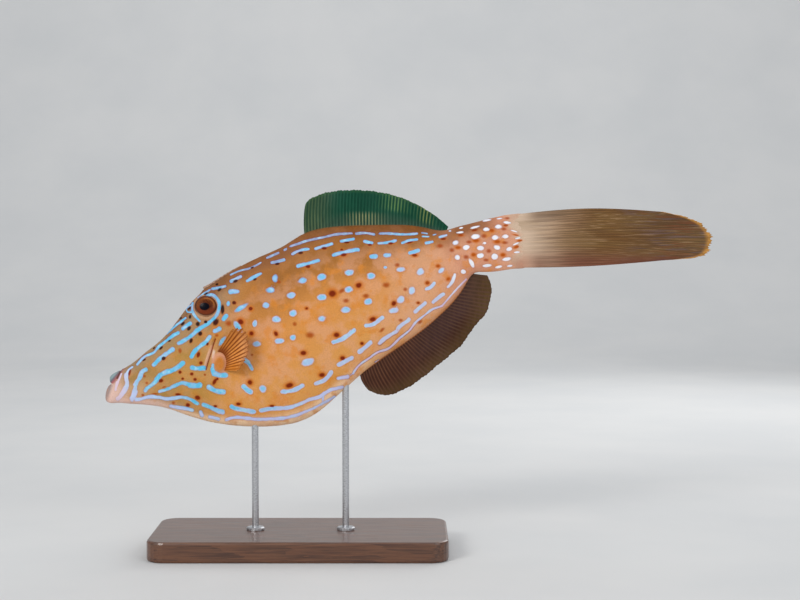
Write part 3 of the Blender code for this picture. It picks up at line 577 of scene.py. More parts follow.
MARK_ZONES = (
    (MARK_CYAN, 1.0),
    (MARK_SKY, 1.0, ("px", 205, 270)),
    (MARK_PALE, 1.0, ("rear", 410, 480)),
    (MARK_LILAC, 0.85, ("down", 0.60, 0.82), ("px", 240, 320)),
    (MARK_LILAC, 0.9, ("px", 150, 124)),
    (BELLY_LINE_LILAC, 0.8, ("px", 196, 160), ("py", 388, 395)),
    (BACK_LINE_GREY, 1.0, ("down", 0.10, 0.06), ("px", 220, 250)),
    (BACK_LINE_GREY, 0.5, ("down", 0.14, 0.08), ("px", 184, 196), ("px", 250, 220)),
    (BELLY_LINE_LILAC, 1.0, ("down", 0.86, 0.94), ("px", 365, 335)),
    (MARK_WHITE, 1.0, ("px", 438, 462)),
    (ANAL_LINE_PINK, 1.0, ("down", 0.86, 0.94), ("px", 335, 365), ("px", 476, 468)),
    (LIP_LINE_WHITE, 1.0, ("px", 130, 118)),
)
RIM_ZONES = (
    (RIM_LILAC, 1.0),
    (RIM_TEAL, 1.0, ("px", 245, 215), ("px", 130, 150)),
    (RIM_BLUE, 1.0, ("down", 0.34, 0.20)),
    (RIM_VIOLET, 1.0, ("down", 0.86, 0.94), ("px", 200, 240)),
)
SPOT_ZONES = (
    (SPOT_BROWN, 1.0),
    (SPOT_DARK, 0.9, ("px", 238, 224), ("py", 360, 330)),
    (SPOT_BLACK, 0.8, ("below_dark_back", 0.0, -0.08), ("px", 130, 146)),
    (PEDUNCLE_RUST, 1.0, ("px", 400, 450), ("down", 0.10, 0.24)),
)
DORSAL_WEB_ZONES = (
    (DORSAL_GREEN, 1.0),
    (DORSAL_GREY, 1.0, ("out", 0.50, 0.05)),
    (DORSAL_OLIVE, 0.8, ("px", 340, 314)),
    (DORSAL_EDGE, 0.6, ("out", 0.90, 1.0)),
)
DORSAL_RAY_ZONES = (
    (DORSAL_RAY_GREEN, 1.0),
    (DORSAL_RAY_GREY, 1.0, ("out", 0.50, 0.05)),
    (DORSAL_RAY_TAN, 0.8, ("px", 340, 314)),
    (DORSAL_RAY_PALE, 0.75, ("px", 364, 15, "bell"), ("out", 0.46, 0.32)),
    (DORSAL_RAY_LIME, 0.75, ("px", 397, 13, "bell"), ("out", 0.42, 0.60)),
    (DORSAL_RAY_YELLOW, 0.65, ("px", 426, 6.5, "bell"), ("out", 0.20, 0.50)),
)
ANAL_WEB_ZONES = (
    (ANAL_BROWN, 1.0),
    (ANAL_VIOLET, 1.0, REAR_OF_ANAL_FIN, ("out", 0.75, 0.45)),
    (ANAL_OLIVE, 0.7, ("out", 0.62, 1.0)),
    (ANAL_OLIVE, 0.6, ("px", 460, 485)),
)
ANAL_RAY_ZONES = (
    (ANAL_RAY_BROWN, 1.0),
    (ANAL_RAY_DIM, 1.0, "rear_or_edge"),
)
# Slanted measures are px + slope * (py - level), given as (slope, level).
SLANTS = {"head": (0.25, 340), "snout": (-0.35, 396), "lip_front": (0.7, 380),
          "lip_across": (0.9, 380), "chin": (0.35, 402)}


def linear(colour):
    """Return a 0-255 display colour as linear light."""
    return tuple((c / 255.0 / 12.92) if c <= 10 else ((c / 255.0 + 0.055) / 1.055) ** 2.4 for c in colour)


def natural_spline(knots, values):
    """Return a function for the natural cubic spline through the values at the knots."""
    knots = np.asarray(knots, dtype=float)
    values = np.asarray(values, dtype=float)
    steps = np.diff(knots)
    system = np.eye(len(knots))
    right = np.zeros_like(values)
    for i in range(1, len(knots) - 1):
        system[i, i - 1:i + 2] = (steps[i - 1], 2.0 * (steps[i - 1] + steps[i]), steps[i])
        slope_after = (values[i + 1] - values[i]) / steps[i]
        slope_before = (values[i] - values[i - 1]) / steps[i - 1]
        right[i] = 6.0 * (slope_after - slope_before)
    bends = np.linalg.solve(system, right)

    def at(places):
        i = np.clip(np.searchsorted(knots, places) - 1, 0, len(knots) - 2)
        step = steps[i][:, None]
        ahead = (places[:, None] - knots[i][:, None]) / step
        behind = 1.0 - ahead
        bow = (behind ** 3 - behind) * bends[i] + (ahead ** 3 - ahead) * bends[i + 1]
        return behind * values[i] + ahead * values[i + 1] + bow * step ** 2 / 6.0

    return at


def chord_knots(points):
    """Return the running length along a row of points."""
    lengths = np.linalg.norm(np.diff(np.asarray(points, dtype=float), axis=0), axis=1)
    return np.concatenate(([0.0], np.cumsum(lengths)))


def smooth_line(points, count):
    """Return count points, evenly spaced along the smooth curve through the given ones."""
    knots = chord_knots(points)
    dense = natural_spline(knots, points)(np.linspace(0.0, knots[-1], 12 * count))
    run = chord_knots(dense)
    places = np.linspace(0.0, run[-1], count)
    return np.stack([np.interp(places, run, dense[:, axis]) for axis in range(2)], axis=1)


def smooth_step(value, low, high):
    """Return 0 below low, 1 above high and a smooth rise between; low may exceed high."""
    part = np.clip((value - low) / (high - low), 0.0, 1.0)
    return part * part * (3.0 - 2.0 * part)


def hump(distance, width):
    """Return a bell of height 1."""
    return np.exp(-(distance / width) ** 2)


def bells(distance, table):
    """Return the sum of bells of (height, distance, width)."""
    return sum(height * hump(distance - middle, width) for height, middle, width in table)


def waves(place, table):
    """Return the sum of waves of (height, rate, start)."""
    return sum(height * np.sin(place * rate + start) for height, rate, start in table)


def share(measures, *spans):
    """Return the product of spans, each the name of a measure or a rise or bell over one."""
    product = 1.0
    for span in spans:
        if isinstance(span, str):
            product = product * measures[span]
            continue
        name, first, second, *bell = span
        value = measures[name]
        product = product * (hump(value - first, second) if bell else smooth_step(value, first, second))
    return product


def lay_zones(zones, measures):
    """Return the colours of zones, in linear light."""
    tone = np.zeros((*measures["px"].shape, 3))
    for colour, amount, *spans in zones:
        cover = np.broadcast_to(amount * share(measures, *spans), tone.shape[:-1])
        tone += (np.array(linear(colour)) - tone) * cover[..., None]
    return tone


def sway(x):
    """Return the sideways shift of the fish's middle plane at x."""
    return SWAY * np.maximum(0.0, (x - SWAY_START) / (SWAY_END - SWAY_START)) ** 2


def reach_from(places, centre, half_sizes=(1.0, 1.0)):
    """Return how far places lie from a centre, in half sizes."""
    offset = (places - np.array(centre)) / half_sizes
    return np.hypot(offset[..., 0], offset[..., 1])


def eye_offset(points):
    """Return how far points lie from the eyes' centres, seen from the side, in eye half sizes."""
    return reach_from(points[..., ::2], EYE_CENTRE[::2], EYE_HALF_SIZES[::2])


def picture_place(points):
    """Return where points show in the picture, in its pixels."""
    offset = points - np.array(VIEW_CENTRE)
    up = offset[..., 2] * math.cos(VIEW_DOWN) + offset[..., 1] * math.sin(VIEW_DOWN)
    deep = VIEW_DISTANCE + offset[..., 1] * math.cos(VIEW_DOWN) - offset[..., 2] * math.sin(VIEW_DOWN)
    shrink = VIEW_DISTANCE / deep / PIXEL
    return np.stack((PICTURE[0] / 2.0 + offset[..., 0] * shrink, PICTURE[1] / 2.0 - up * shrink), axis=-1)


def model_place(places, y):
    """Return x and z of the points that show at the given places and lie at y."""
    right = (places[..., 0] - PICTURE[0] / 2.0) * PIXEL
    up = (PICTURE[1] / 2.0 - places[..., 1]) * PIXEL
    ahead = y * math.cos(VIEW_DOWN)
    rise = up * (VIEW_DISTANCE + ahead) - VIEW_DISTANCE * y * math.sin(VIEW_DOWN)
    rise /= VIEW_DISTANCE * math.cos(VIEW_DOWN) + up * math.sin(VIEW_DOWN)
    deep = VIEW_DISTANCE + ahead - rise * math.sin(VIEW_DOWN)
    return VIEW_CENTRE[0] + right * deep / VIEW_DISTANCE, VIEW_CENTRE[2] + rise


def soft_noise(points, scale, seed):
    """Return a smooth, repeatable noise of about -1 to 1 with features of the given size."""
    random = np.random.default_rng(seed)
    total = np.zeros(points.shape[:-1])
    for _ in range(9):
        direction = random.normal(size=3)
        direction *= 2.0 * math.pi / scale / np.linalg.norm(direction) * random.uniform(0.5, 1.1)
        total += np.sin(points @ direction + random.uniform(0.0, 2.0 * math.pi))
    return total / 4.5


def line_vectors(places, line):
    """Return the vectors from a line's nearest points to places, and their lengths."""
    best = np.full(places.shape, 1e6)
    best_length = np.full(places.shape[:-1], 1e6)
    line = np.asarray(line, dtype=float)
    for start, end in zip(line, line[1:]):
        run = end - start
        along = np.clip(((places - start) @ run) / (run @ run), 0.0, 1.0)
        vector = places - start - along[..., None] * run
        length = np.linalg.norm(vector, axis=-1)
        nearer = length < best_length
        best[nearer] = vector[nearer]
        best_length[nearer] = length[nearer]
    return best, best_length


def oval_vectors(places, oval):
    """Return the vectors from an oval's centre to places, in the oval's half sizes, and lengths."""
    x, y, length, width, tilt = oval
    tilt = math.radians(tilt)
    offset = places - (x, y)
    along = offset[..., 0] * math.cos(tilt) - offset[..., 1] * math.sin(tilt)
    across = offset[..., 0] * math.sin(tilt) + offset[..., 1] * math.cos(tilt)
    vectors = np.stack((2.0 * along / length, 2.0 * across / width), axis=-1)
    return vectors, np.linalg.norm(vectors, axis=-1)


def paint_marks(places, strokes, ovals=()):
    """Return, for each place, the vector to its nearest mark in half widths, and its length.

    A surface shades each mark from the vector, which keeps its outline round between vertices.
    The length keeps away false marks halfway between two marks.
    """
    field = np.full((*places.shape[:-1], 3), 50.0)

    def take_nearer(near, vectors, lengths):
        patch = field[near]
        nearer = lengths < patch[:, 2]
        patch[nearer, :2] = vectors[nearer]
        patch[nearer, 2] = lengths[nearer]
        field[near] = patch

    for oval in ovals:
        near = np.all(np.abs(places - oval[:2]) < 4.0 * oval[2], axis=-1)
        take_nearer(near, *oval_vectors(places[near], oval))
    for half_width, points in strokes:
        line = np.asarray(points)
        if len(points) > 2:
            line = smooth_line(points, max(4, int(chord_knots(points)[-1] / 2.0)))
        reach = 8.0 * half_width
        near = np.all((places > line.min(axis=0) - reach) & (places < line.max(axis=0) + reach), axis=-1)
        vectors, lengths = line_vectors(places[near], line)
        take_nearer(near, vectors / half_width, lengths / half_width)
    return field


class Nodes:
    """Short calls for building a material's nodes, with colours as 0-255 display values."""

    def __init__(self, name):
        self.material = bpy.data.materials.new(name)
        self.material.use_nodes = True
        self.tree = self.material.node_tree
        self.shader = self.tree.nodes["Principled BSDF"]

    def put(self, socket, value):
        """Link an output to a socket or set the socket's value."""
        if isinstance(value, bpy.types.NodeSocket):
            self.tree.links.new(value, socket)
        elif socket.type == "RGBA":
            socket.default_value = (*linear(value), 1.0)
        else:
            socket.default_value = value

    def make(self, kind, *values, **settings):
        """Make a node with its first inputs filled in."""
        node = self.tree.nodes.new(kind)
        for key, value in settings.items():
            setattr(node, key, value)
        for socket, value in zip(node.inputs, values):
            if value is not None:
                self.put(socket, value)
        return node

    def calculate(self, operation, *values, clamp=False):
        """Make a Math node and return its output."""
        return self.make("ShaderNodeMath", *values, operation=operation, use_clamp=clamp).outputs[0]

    def times(self, product, *factors):
        """Return the product of values."""
        for factor in factors:
            product = self.calculate("MULTIPLY", product, factor)
        return product

    def plus(self, first, second):
        """Return the sum of two values."""
        return self.calculate("ADD", first, second)

    def minus(self, first, second):
        """Return the first value less the second."""
        return self.calculate("SUBTRACT", first, second)

    def length(self, vector):
        """Return a vector's length."""
        return self.make("ShaderNodeVectorMath", vector, operation="LENGTH").outputs["Value"]

    def mix(self, factor, first, second, blend="MIX"):
        """Mix two colours, whose sockets are the node's seventh and eighth."""
        node = self.make("ShaderNodeMix", data_type="RGBA", blend_type=blend)
        for index, value in ((0, factor), (6, first), (7, second)):
            self.put(node.inputs[index], value)
        return node.outputs[2]

    def cover(self, colour, *layers):
        """Return a colour under layers of (amount, colour), lowest first."""
        for amount, layer in layers:
            colour = self.mix(amount, colour, layer)
        return colour

    def shade(self, colour, factor):
        """Return a colour made darker or lighter by a factor."""
        grey = self.make("ShaderNodeCombineColor", factor, factor, factor).outputs[0]
        return self.mix(1.0, colour, grey, "MULTIPLY")

    def ramp(self, value, low, high, bottom=0.0, top=1.0):
        """Map a value smoothly from low..high to bottom..top."""
        return self.make("ShaderNodeMapRange", value, low, high, bottom, top,
                         interpolation_type="SMOOTHSTEP").outputs[0]

    def attribute(self, name, output="Fac"):
        """Read a mesh attribute."""
        return self.make("ShaderNodeAttribute", attribute_name=name).outputs[output]

    def texture(self, kind, size_mm, stretch):
        """Make a texture with features of about the given size."""
        coordinates = self.make("ShaderNodeTexCoord").outputs["Object"]
        node = self.make(kind, self.make("ShaderNodeMapping", coordinates, None, None, stretch).outputs[0])
        node.inputs["Scale"].default_value = 1.0 / (size_mm * MM)
        return node

    def noise(self, size_mm, detail=3.0, stretch=(1.0, 1.0, 1.0)):
        """Return noise with features of about the given size."""
        node = self.texture("ShaderNodeTexNoise", size_mm, stretch)
        node.inputs["Detail"].default_value = detail
        node.inputs["Roughness"].default_value = 0.55
        return node.outputs[0]

    def cells(self, size_mm):
        """Return the distance to the centre of cells of about the given size."""
        return self.texture("ShaderNodeTexVoronoi", size_mm, (1.0, 1.0, 1.0)).outputs["Distance"]

    def bump(self, height, depth_mm, strength):
        """Give the shader a bump from a height of 0 to 1."""
        node = self.make("ShaderNodeBump")
        node.inputs["Strength"].default_value = strength
        node.inputs["Distance"].default_value = depth_mm * MM
        self.put(node.inputs["Height"], height)
        self.put(self.shader.inputs["Normal"], node.outputs[0])

    def finish(self, colour, roughness, **constants):
        """Set the shader's colour and roughness, and constants by their socket's name."""
        self.put(self.shader.inputs["Base Color"], colour)
        self.put(self.shader.inputs["Roughness"], roughness)
        for name, value in constants.items():
            self.shader.inputs[name.replace("_", " ")].default_value = value
        return self.material


def mark_distance(nodes, name, wobble, swell=0.0):
    """Return a mark's distance in half widths, with an uneven edge that swells and narrows."""
    across, along, guard = nodes.make("ShaderNodeSeparateXYZ", nodes.attribute(name, "Vector")).outputs
    flat = nodes.make("ShaderNodeCombineXYZ", across, along, 0.0).outputs[0]
    distance = nodes.calculate("MAXIMUM", nodes.length(flat), nodes.minus(guard, 0.3))
    uneven = nodes.times(nodes.minus(nodes.noise(3.2, 2.0), 0.5), wobble)
    wide = nodes.times(nodes.minus(nodes.noise(7.0, 1.0), 0.5), swell)
    near = nodes.ramp(guard, 1.2, 1.5, 1.0, 0.0)
    return nodes.calculate("MULTIPLY_ADD", nodes.plus(uneven, wide), near, distance)


def skin_material():
    """Painted filefish skin: zone tone, mottling, spots, blue marks and a fine shagreen."""
    nodes = Nodes("painted skin")
    mottle = nodes.attribute("mottle")
    brim = nodes.attribute("brim")
    grain = nodes.noise(0.9, 2.0)
    colour = nodes.cover(
        nodes.attribute("tone", "Color"),
        (nodes.times(nodes.ramp(nodes.noise(17.0), 0.42, 0.60, 0.0, 0.45), mottle), MOTTLE_PINK),
        (nodes.times(nodes.ramp(nodes.noise(10.0), 0.50, 0.68, 0.0, 0.6), mottle), MOTTLE_ORANGE))
    colour = nodes.shade(colour, nodes.ramp(grain, 0.25, 0.75, 0.92, 1.07))
    rust = mark_distance(nodes, "rust", 0.5)
    dark = mark_distance(nodes, "dark", 0.35)
    blue = mark_distance(nodes, "blue", 0.4, 1.0)
    crease = mark_distance(nodes, "crease", 0.3)
    slit = mark_distance(nodes, "slit", 0.2)
    rim = nodes.calculate("MULTIPLY_ADD", nodes.attribute("outline"), 0.6, 0.2)
    mark = nodes.cover(
        nodes.attribute("mark_tone", "Color"),
        (nodes.times(nodes.ramp(nodes.noise(6.5), 0.42, 0.64, 0.0, 0.5), brim), MARK_LILAC),
        (nodes.times(nodes.ramp(nodes.noise(4.2, 2.0), 0.50, 0.70, 0.0, 0.45), brim), PALE_CYAN),
        (nodes.times(nodes.ramp(blue, 0.40, 1.0, 0.0, 0.65), brim), nodes.attribute("rim_tone", "Color")))
    colour = nodes.cover(
        colour,
        (nodes.ramp(rust, 0.3, 1.6, 0.85, 0.0), RUST),
        (nodes.times(nodes.ramp(dark, 0.8, 2.3, 0.85, 0.0), mottle), SPOT_HALO),
        (nodes.times(rim, nodes.ramp(blue, 1.0, 1.75, 1.0, 0.0)), MARK_OUTLINE),
        (nodes.ramp(blue, 0.72, 1.18, 0.97, 0.0), mark),
        (nodes.ramp(dark, 0.55, 1.25, 0.98, 0.0), nodes.attribute("spot_tone", "Color")),
        # Painted shade along the upper lip's crease.
        (nodes.ramp(crease, 0.5, 1.4, 0.8, 0.0), CREASE_SHADE),
        # Painted shade in the gill slit's opening.
        (nodes.ramp(slit, 0.6, 1.4, 0.82, 0.0), SLIT_SHADE))
    nodes.bump(nodes.plus(nodes.times(nodes.cells(0.8), 0.6), nodes.times(grain, 0.7)), 0.12, 0.55)
    return nodes.finish(colour, nodes.ramp(nodes.noise(3.0), 0.2, 0.8, 0.40, 0.56), Specular_IOR_Level=0.10)


def ring_faces(rings, around):
    """Return the faces between rings of points."""
    faces = []
    for low in range(0, (rings - 1) * around, around):
        for k in range(around):
            after = (k + 1) % around
            faces.append((low + k, low + after, low + around + after, low + around + k))
    return faces


def tip_faces(rings, around):
    """Return the faces from the end rings to two tips, which come after the rings' points."""
    first_tip = rings * around
    last_ring = first_tip - around
    faces = []
    for k in range(around):
        after = (k + 1) % around
        faces.append((first_tip, after, k))
        faces.append((first_tip + 1, last_ring + k, last_ring + after))
    return faces


def make_piece(name, points, faces, material):
    """Make a mesh object from points in millimetres."""
    mesh = bpy.data.meshes.new(name)
    mesh.from_pydata((np.asarray(points) * MM).tolist(), [], faces)
    mesh.update()
    mesh.shade_smooth()
    mesh.materials.append(material)
    piece = bpy.data.objects.new(name, mesh)
    bpy.context.scene.collection.objects.link(piece)
    return piece


def make_closed(name, points, faces, material):
    """Make a closed piece with its faces outward."""
    piece = make_piece(name, points, faces, material)
    form = bmesh.new()
    form.from_mesh(piece.data)
    bmesh.ops.recalc_face_normals(form, faces=form.faces)
    form.to_mesh(piece.data)
    form.free()
    return piece


def give(piece, name, values, kind="FLOAT"):
    """Store values on a piece's vertices."""
    values = np.asarray(values, dtype=np.float32)
    attribute = piece.data.attributes.new(name, kind, "POINT")
    if kind == "FLOAT_COLOR":
        values = np.concatenate((values, np.ones((len(values), 1), np.float32)), axis=1)
    key = {"FLOAT": "value", "FLOAT_VECTOR": "vector", "FLOAT_COLOR": "color"}[kind]
    attribute.data.foreach_set(key, values.ravel())


def lay_out(piece, place_corners):
    """Give a piece its own map for baking: place_corners takes a face's vertices, returns places."""
    layer = piece.data.uv_layers.new(name="OFBake")
    for face in piece.data.polygons:
        places = place_corners(np.array(face.vertices))
        for loop, place in zip(face.loop_indices, places):
            layer.data[loop].uv = place


def declare(piece, slot, *nodes):
    """Let a piece ride on the only body and stand for its CAD nodes."""
    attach(piece, "root")
    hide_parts(*nodes)


def loft_rows():
    """Return the rows of numbers of all stations, mouth first, and their knots."""
    rows = [(*top, *low, *side, width, LIP_BLUNTNESS, LIP_BLUNTNESS)
            for top, low, side, width in MOUTH_STATIONS]
    for top, low, *shape in BODY_STATIONS:
        rows.append((*top, *low, (top[0] + low[0]) / 2.0, (top[1] + low[1]) / 2.0, *shape))
    rows = np.array(rows)
    jumps = np.diff(rows, axis=0)
    steps = np.hypot(jumps[:, 4], jumps[:, 5])
    in_mouth = slice(0, len(MOUTH_STATIONS))
    lips = (np.hypot(jumps[:, 0], jumps[:, 1]) + np.hypot(jumps[:, 2], jumps[:, 3])) / 2.0
    steps[in_mouth] = lips[in_mouth]
    return rows, np.concatenate(([0.0], np.cumsum(steps)))


def skin_grid():
    """Return the body's surface before its relief, how far down and how deep in the mouth it lies."""
    rows, knots = loft_rows()
    snout = knots[len(MOUTH_STATIONS)]
    head_end = knots[len(MOUTH_STATIONS) + HEAD_END_STATION]
    toward_tail = 1.0 - np.linspace(1.0, 0.0, TRUNK_RINGS) ** TAIL_END_CROWDING
    places = np.concatenate((np.linspace(0.0, snout, MOUTH_RINGS, endpoint=False),
                             np.linspace(snout, head_end, HEAD_RINGS, endpoint=False),
                             head_end + (knots[-1] - head_end) * toward_tail))
    columns = natural_spline(knots, rows)(places).T[..., None]
    top_x, top_z, low_x, low_z, side_x, side_z, half_width, blunt_above, blunt_below = columns
    turn = np.linspace(0.0, 2.0 * math.pi, RING_POINTS, endpoint=False)[None, :]
    down = 0.5 * (1.0 - np.cos(turn))
    blunt = np.where(down < 0.5, blunt_above, blunt_below)
    out = np.sign(np.sin(turn)) * np.abs(np.sin(turn)) ** blunt * half_width
    aside = np.sin(turn) ** 2
    x = top_x + (low_x - top_x) * down + (side_x - (top_x + low_x) / 2.0) * aside
    z = top_z + (low_z - top_z) * down + (side_z - (top_z + low_z) / 2.0) * aside
    inside = smooth_step(places, knots[LIP_EDGE_STATION], knots[MOUTH_INSIDE_STATION])[:, None]
    points = np.stack((x, out + sway(x), z), axis=-1)
    return points, np.broadcast_to(down, x.shape), np.broadcast_to(inside, x.shape)


def grid_normals(points):
    """Return outward unit normals of a grid that is closed around each ring."""
    along = np.gradient(points, axis=0)
    around = np.roll(points, -1, axis=1) - np.roll(points, 1, axis=1)
    normals = np.cross(along, around)
    normals /= np.linalg.norm(normals, axis=-1, keepdims=True) + 1e-9
    row = len(points) // 2
    outward = points[row] - points[row].mean(axis=0)
    return normals if np.sum(normals[row] * outward) > 0.0 else -normals


def skin_relief(points, places, inside):
    """Return how far the skin is raised, in millimetres."""
    aside = np.abs(points[..., 1] - sway(points[..., 0]))
    flank = aside > 3.0
    swell = sum(height * soft_noise(points, length, seed) for height, length, seed in SKIN_SWELLS)
    rise = swell * (1.0 - inside)
    eye = eye_offset(points)
    socket = bells(eye, EYE_BELLS) - EYE_SOCKET_DEPTH * smooth_step(eye, 0.92, 0.80)
    rise += np.where((aside > 4.0) & (eye < 3.0), socket, 0.0)
    (upper_x, upper_y), (lower_x, lower_y) = GILL_SLIT_PX[0], GILL_SLIT_PX[-1]
    ahead = places[..., 0] < np.interp(places[..., 1], (upper_y, lower_y), (upper_x, lower_x))
    _, slit = line_vectors(places, GILL_SLIT_PX)
    fold = np.where(ahead, GILL_FOLD_AHEAD, GILL_FOLD_BEHIND) * hump(slit - GILL_FOLD_PX, GILL_FOLD_WIDTH_PX)
    rise += np.where(flank, fold + bells(slit, GILL_SLIT_BELLS), 0.0)
    lobe = reach_from(places, LOBE_CENTRE_PX, LOBE_HALF_PX)
    rise += np.where(flank, LOBE_HEIGHT * smooth_step(lobe, 1.1, 0.55) + bells(lobe, LOBE_BELLS), 0.0)
    for nostril in NOSTRILS_PX:
        rise += np.where(flank, bells(reach_from(places, nostril), NOSTRIL_BELLS), 0.0)
    _, lip = line_vectors(places, LIP_FOLD_PX)
    rise += bells(lip, LIP_FOLD_BELLS)
    spine_root = reach_from(points[..., ::2], SPINE_ROOT)
    rise += np.where(aside < 6.0, SPINE_BUMP_HEIGHT * hump(spine_root, SPINE_BUMP_WIDTH), 0.0)
    return rise


def past_skin_edge(places):
    """Return how far places lie behind the jagged end of the skin on the tail fin, in pixels."""
    edge_x, edge_y = np.array(SKIN_EDGE_PX).T
    return places[..., 0] - np.interp(places[..., 1], edge_y, edge_x)


def skin_measures(points, places, down, inside):
    """Return the measures that the skin's zones go by."""
    px, py = places[..., 0], places[..., 1]
    measures = {name: px + slope * (py - level) for name, (slope, level) in SLANTS.items()}
    measures.update(px=px, py=py, down=down, inside=inside, eye=eye_offset(points))
    measures["cheek"] = reach_from(places, CHEEK_CENTRE_PX)
    measures["lobe"] = reach_from(places, LOBE_CENTRE_PX, LOBE_HALF_PX)
    measures["past_skin"] = past_skin_edge(places)
    measures["rear"] = px + REAR_LEAD_PX * smooth_step(down, 0.20, 0.45)
    measures["below_dark_back"] = down - np.interp(px, DARK_BACK_PX, DARK_BACK_DOWN)
    for name, line in (("gill_front", GILL_FRONT_EDGE_PX), ("gill_rear", GILL_REAR_EDGE_PX)):
        _, reach = line_vectors(places, line)
        measures[name] = np.where(points[..., 1] < 0.0, reach, np.inf)
    return measures


def marks_side(points, places):
    """Return the picture places that the marks are read at, shifted on the fish's right side."""
    fade = smooth_step(points[..., 1] - sway(points[..., 0]), 2.5, 9.0)
    fade = fade * smooth_step(eye_offset(points), 1.6, 3.4)
    fade = fade * smooth_step(reach_from(places, FAN_CENTRE_PX), *FAN_REACH_PX)
    shift = np.zeros(places.shape)
    for shifted, height, axis, length, start in MARK_WAVES_PX:
        shift[..., shifted] += height * np.sin(places[..., axis] / length + start)
    return places + shift * fade[..., None]


def make_skin():
    """Make the seamless skin of head, trunk, peduncle and lips."""
    points, down, inside = skin_grid()
    middle = sway(points[..., 0])
    mirrored = points.copy()
    mirrored[..., 1] = middle - np.abs(points[..., 1] - middle)
    places = picture_place(mirrored)
    surface = points + grid_normals(points) * skin_relief(points, places, inside)[..., None]
    rings, around = surface.shape[:2]
    tips_from = rings * around
    vertices = np.concatenate((surface.reshape(-1, 3), surface[[0, -1]].mean(axis=1)))
    faces = ring_faces(rings, around) + tip_faces(rings, around)
    skin = make_closed("skin", vertices, faces, skin_material())

    steps = np.linalg.norm(np.diff(surface.mean(axis=1), axis=0), axis=1) + 0.5
    along = np.concatenate(([0.0], np.cumsum(steps))) / np.sum(steps)

    def place_corners(corners):
        ring = np.minimum(corners // around, rings - 1)
        turned = (corners % around + around // 2) % around
        tip = corners >= tips_from
        if np.ptp(turned[~tip]) > around / 2:
            turned[turned < around / 2] += around
        turned = np.where(tip, turned[~tip].mean(), turned)
        u = np.where(corners == tips_from, 0.004, np.where(tip, 0.996, 0.01 + 0.98 * along[ring]))
        return np.stack((u, 0.005 + 0.99 * turned / around), axis=1)

    lay_out(skin, place_corners)

    def give_field(name, values, kind):
        width = values.shape[-1] if values.ndim > 2 else 1
        values = values.reshape(rings, around, width)
        give(skin, name, np.concatenate((values.reshape(-1, width), values[[0, -1]].mean(axis=1))), kind)

    marks = marks_side(points, places)
    of_skin = skin_measures(points, places, down, inside)
    of_marks = skin_measures(points, marks, down, inside)
    aside = np.abs(points[..., 1] - middle)
    keep_off = 3.0 * smooth_step(aside, 3.0, 1.6) * share(of_skin, BEFORE_FINS)
    strokes = (*HEAD_STROKES_PX, *BELLY_STROKES_PX, *BACK_STROKES_PX)
    for name, lines, ovals in (("blue", strokes, (*FLANK_OVALS_PX, *PEDUNCLE_OVALS_PX)),
                               ("dark", (), DARK_SPOTS_PX), ("rust", (), RUST_SPOTS_PX)):
        field = paint_marks(marks, lines, ovals)
        field[..., 2] += keep_off
        give_field(name, field, "FLOAT_VECTOR")
    give_field("slit", paint_marks(places, ((GILL_SLIT_HALF_PX, GILL_SLIT_PX),)), "FLOAT_VECTOR")
    give_field("crease", paint_marks(places, ((LIP_FOLD_HALF_PX, LIP_FOLD_PX),)), "FLOAT_VECTOR")
    give_field("tone", lay_zones(SKIN_ZONES, of_skin), "FLOAT_COLOR")
    for name, zones in (("mark_tone", MARK_ZONES), ("rim_tone", RIM_ZONES), ("spot_tone", SPOT_ZONES)):
        give_field(name, lay_zones(zones, of_marks), "FLOAT_COLOR")
    brim = (1.0 - 0.6 * share(of_marks, ON_PEDUNCLE)) * share(of_marks, BEHIND_SNOUT)
    mottle = (1.0 - 0.85 * share(of_skin, ON_BACK)) * share(of_skin, BEFORE_SKIN_EDGE)
    mottle = mottle * (0.45 + 0.55 * share(of_marks, BEHIND_HEAD))
    by_fins = np.maximum(share(of_marks, ALONG_DORSAL_FIN), share(of_marks, *ALONG_ANAL_FIN))
    give_field("brim", brim, "FLOAT")
    give_field("mottle", mottle, "FLOAT")
    give_field("outline", by_fins * share(of_marks, BEFORE_PEDUNCLE), "FLOAT")
    declare(skin, "skin", "head", "trunk", "caudal_peduncle", "upper_lip", "lower_jaw")


def body_rail(upper):
    """Return a function that gives z on the back or belly line at x."""
    rows, knots = loft_rows()
    line = natural_spline(knots, rows)(np.linspace(knots[len(MOUTH_STATIONS)], knots[-1], 800))
    column = 0 if upper else 2
    return lambda x: np.interp(x, line[:, column], line[:, column + 1])


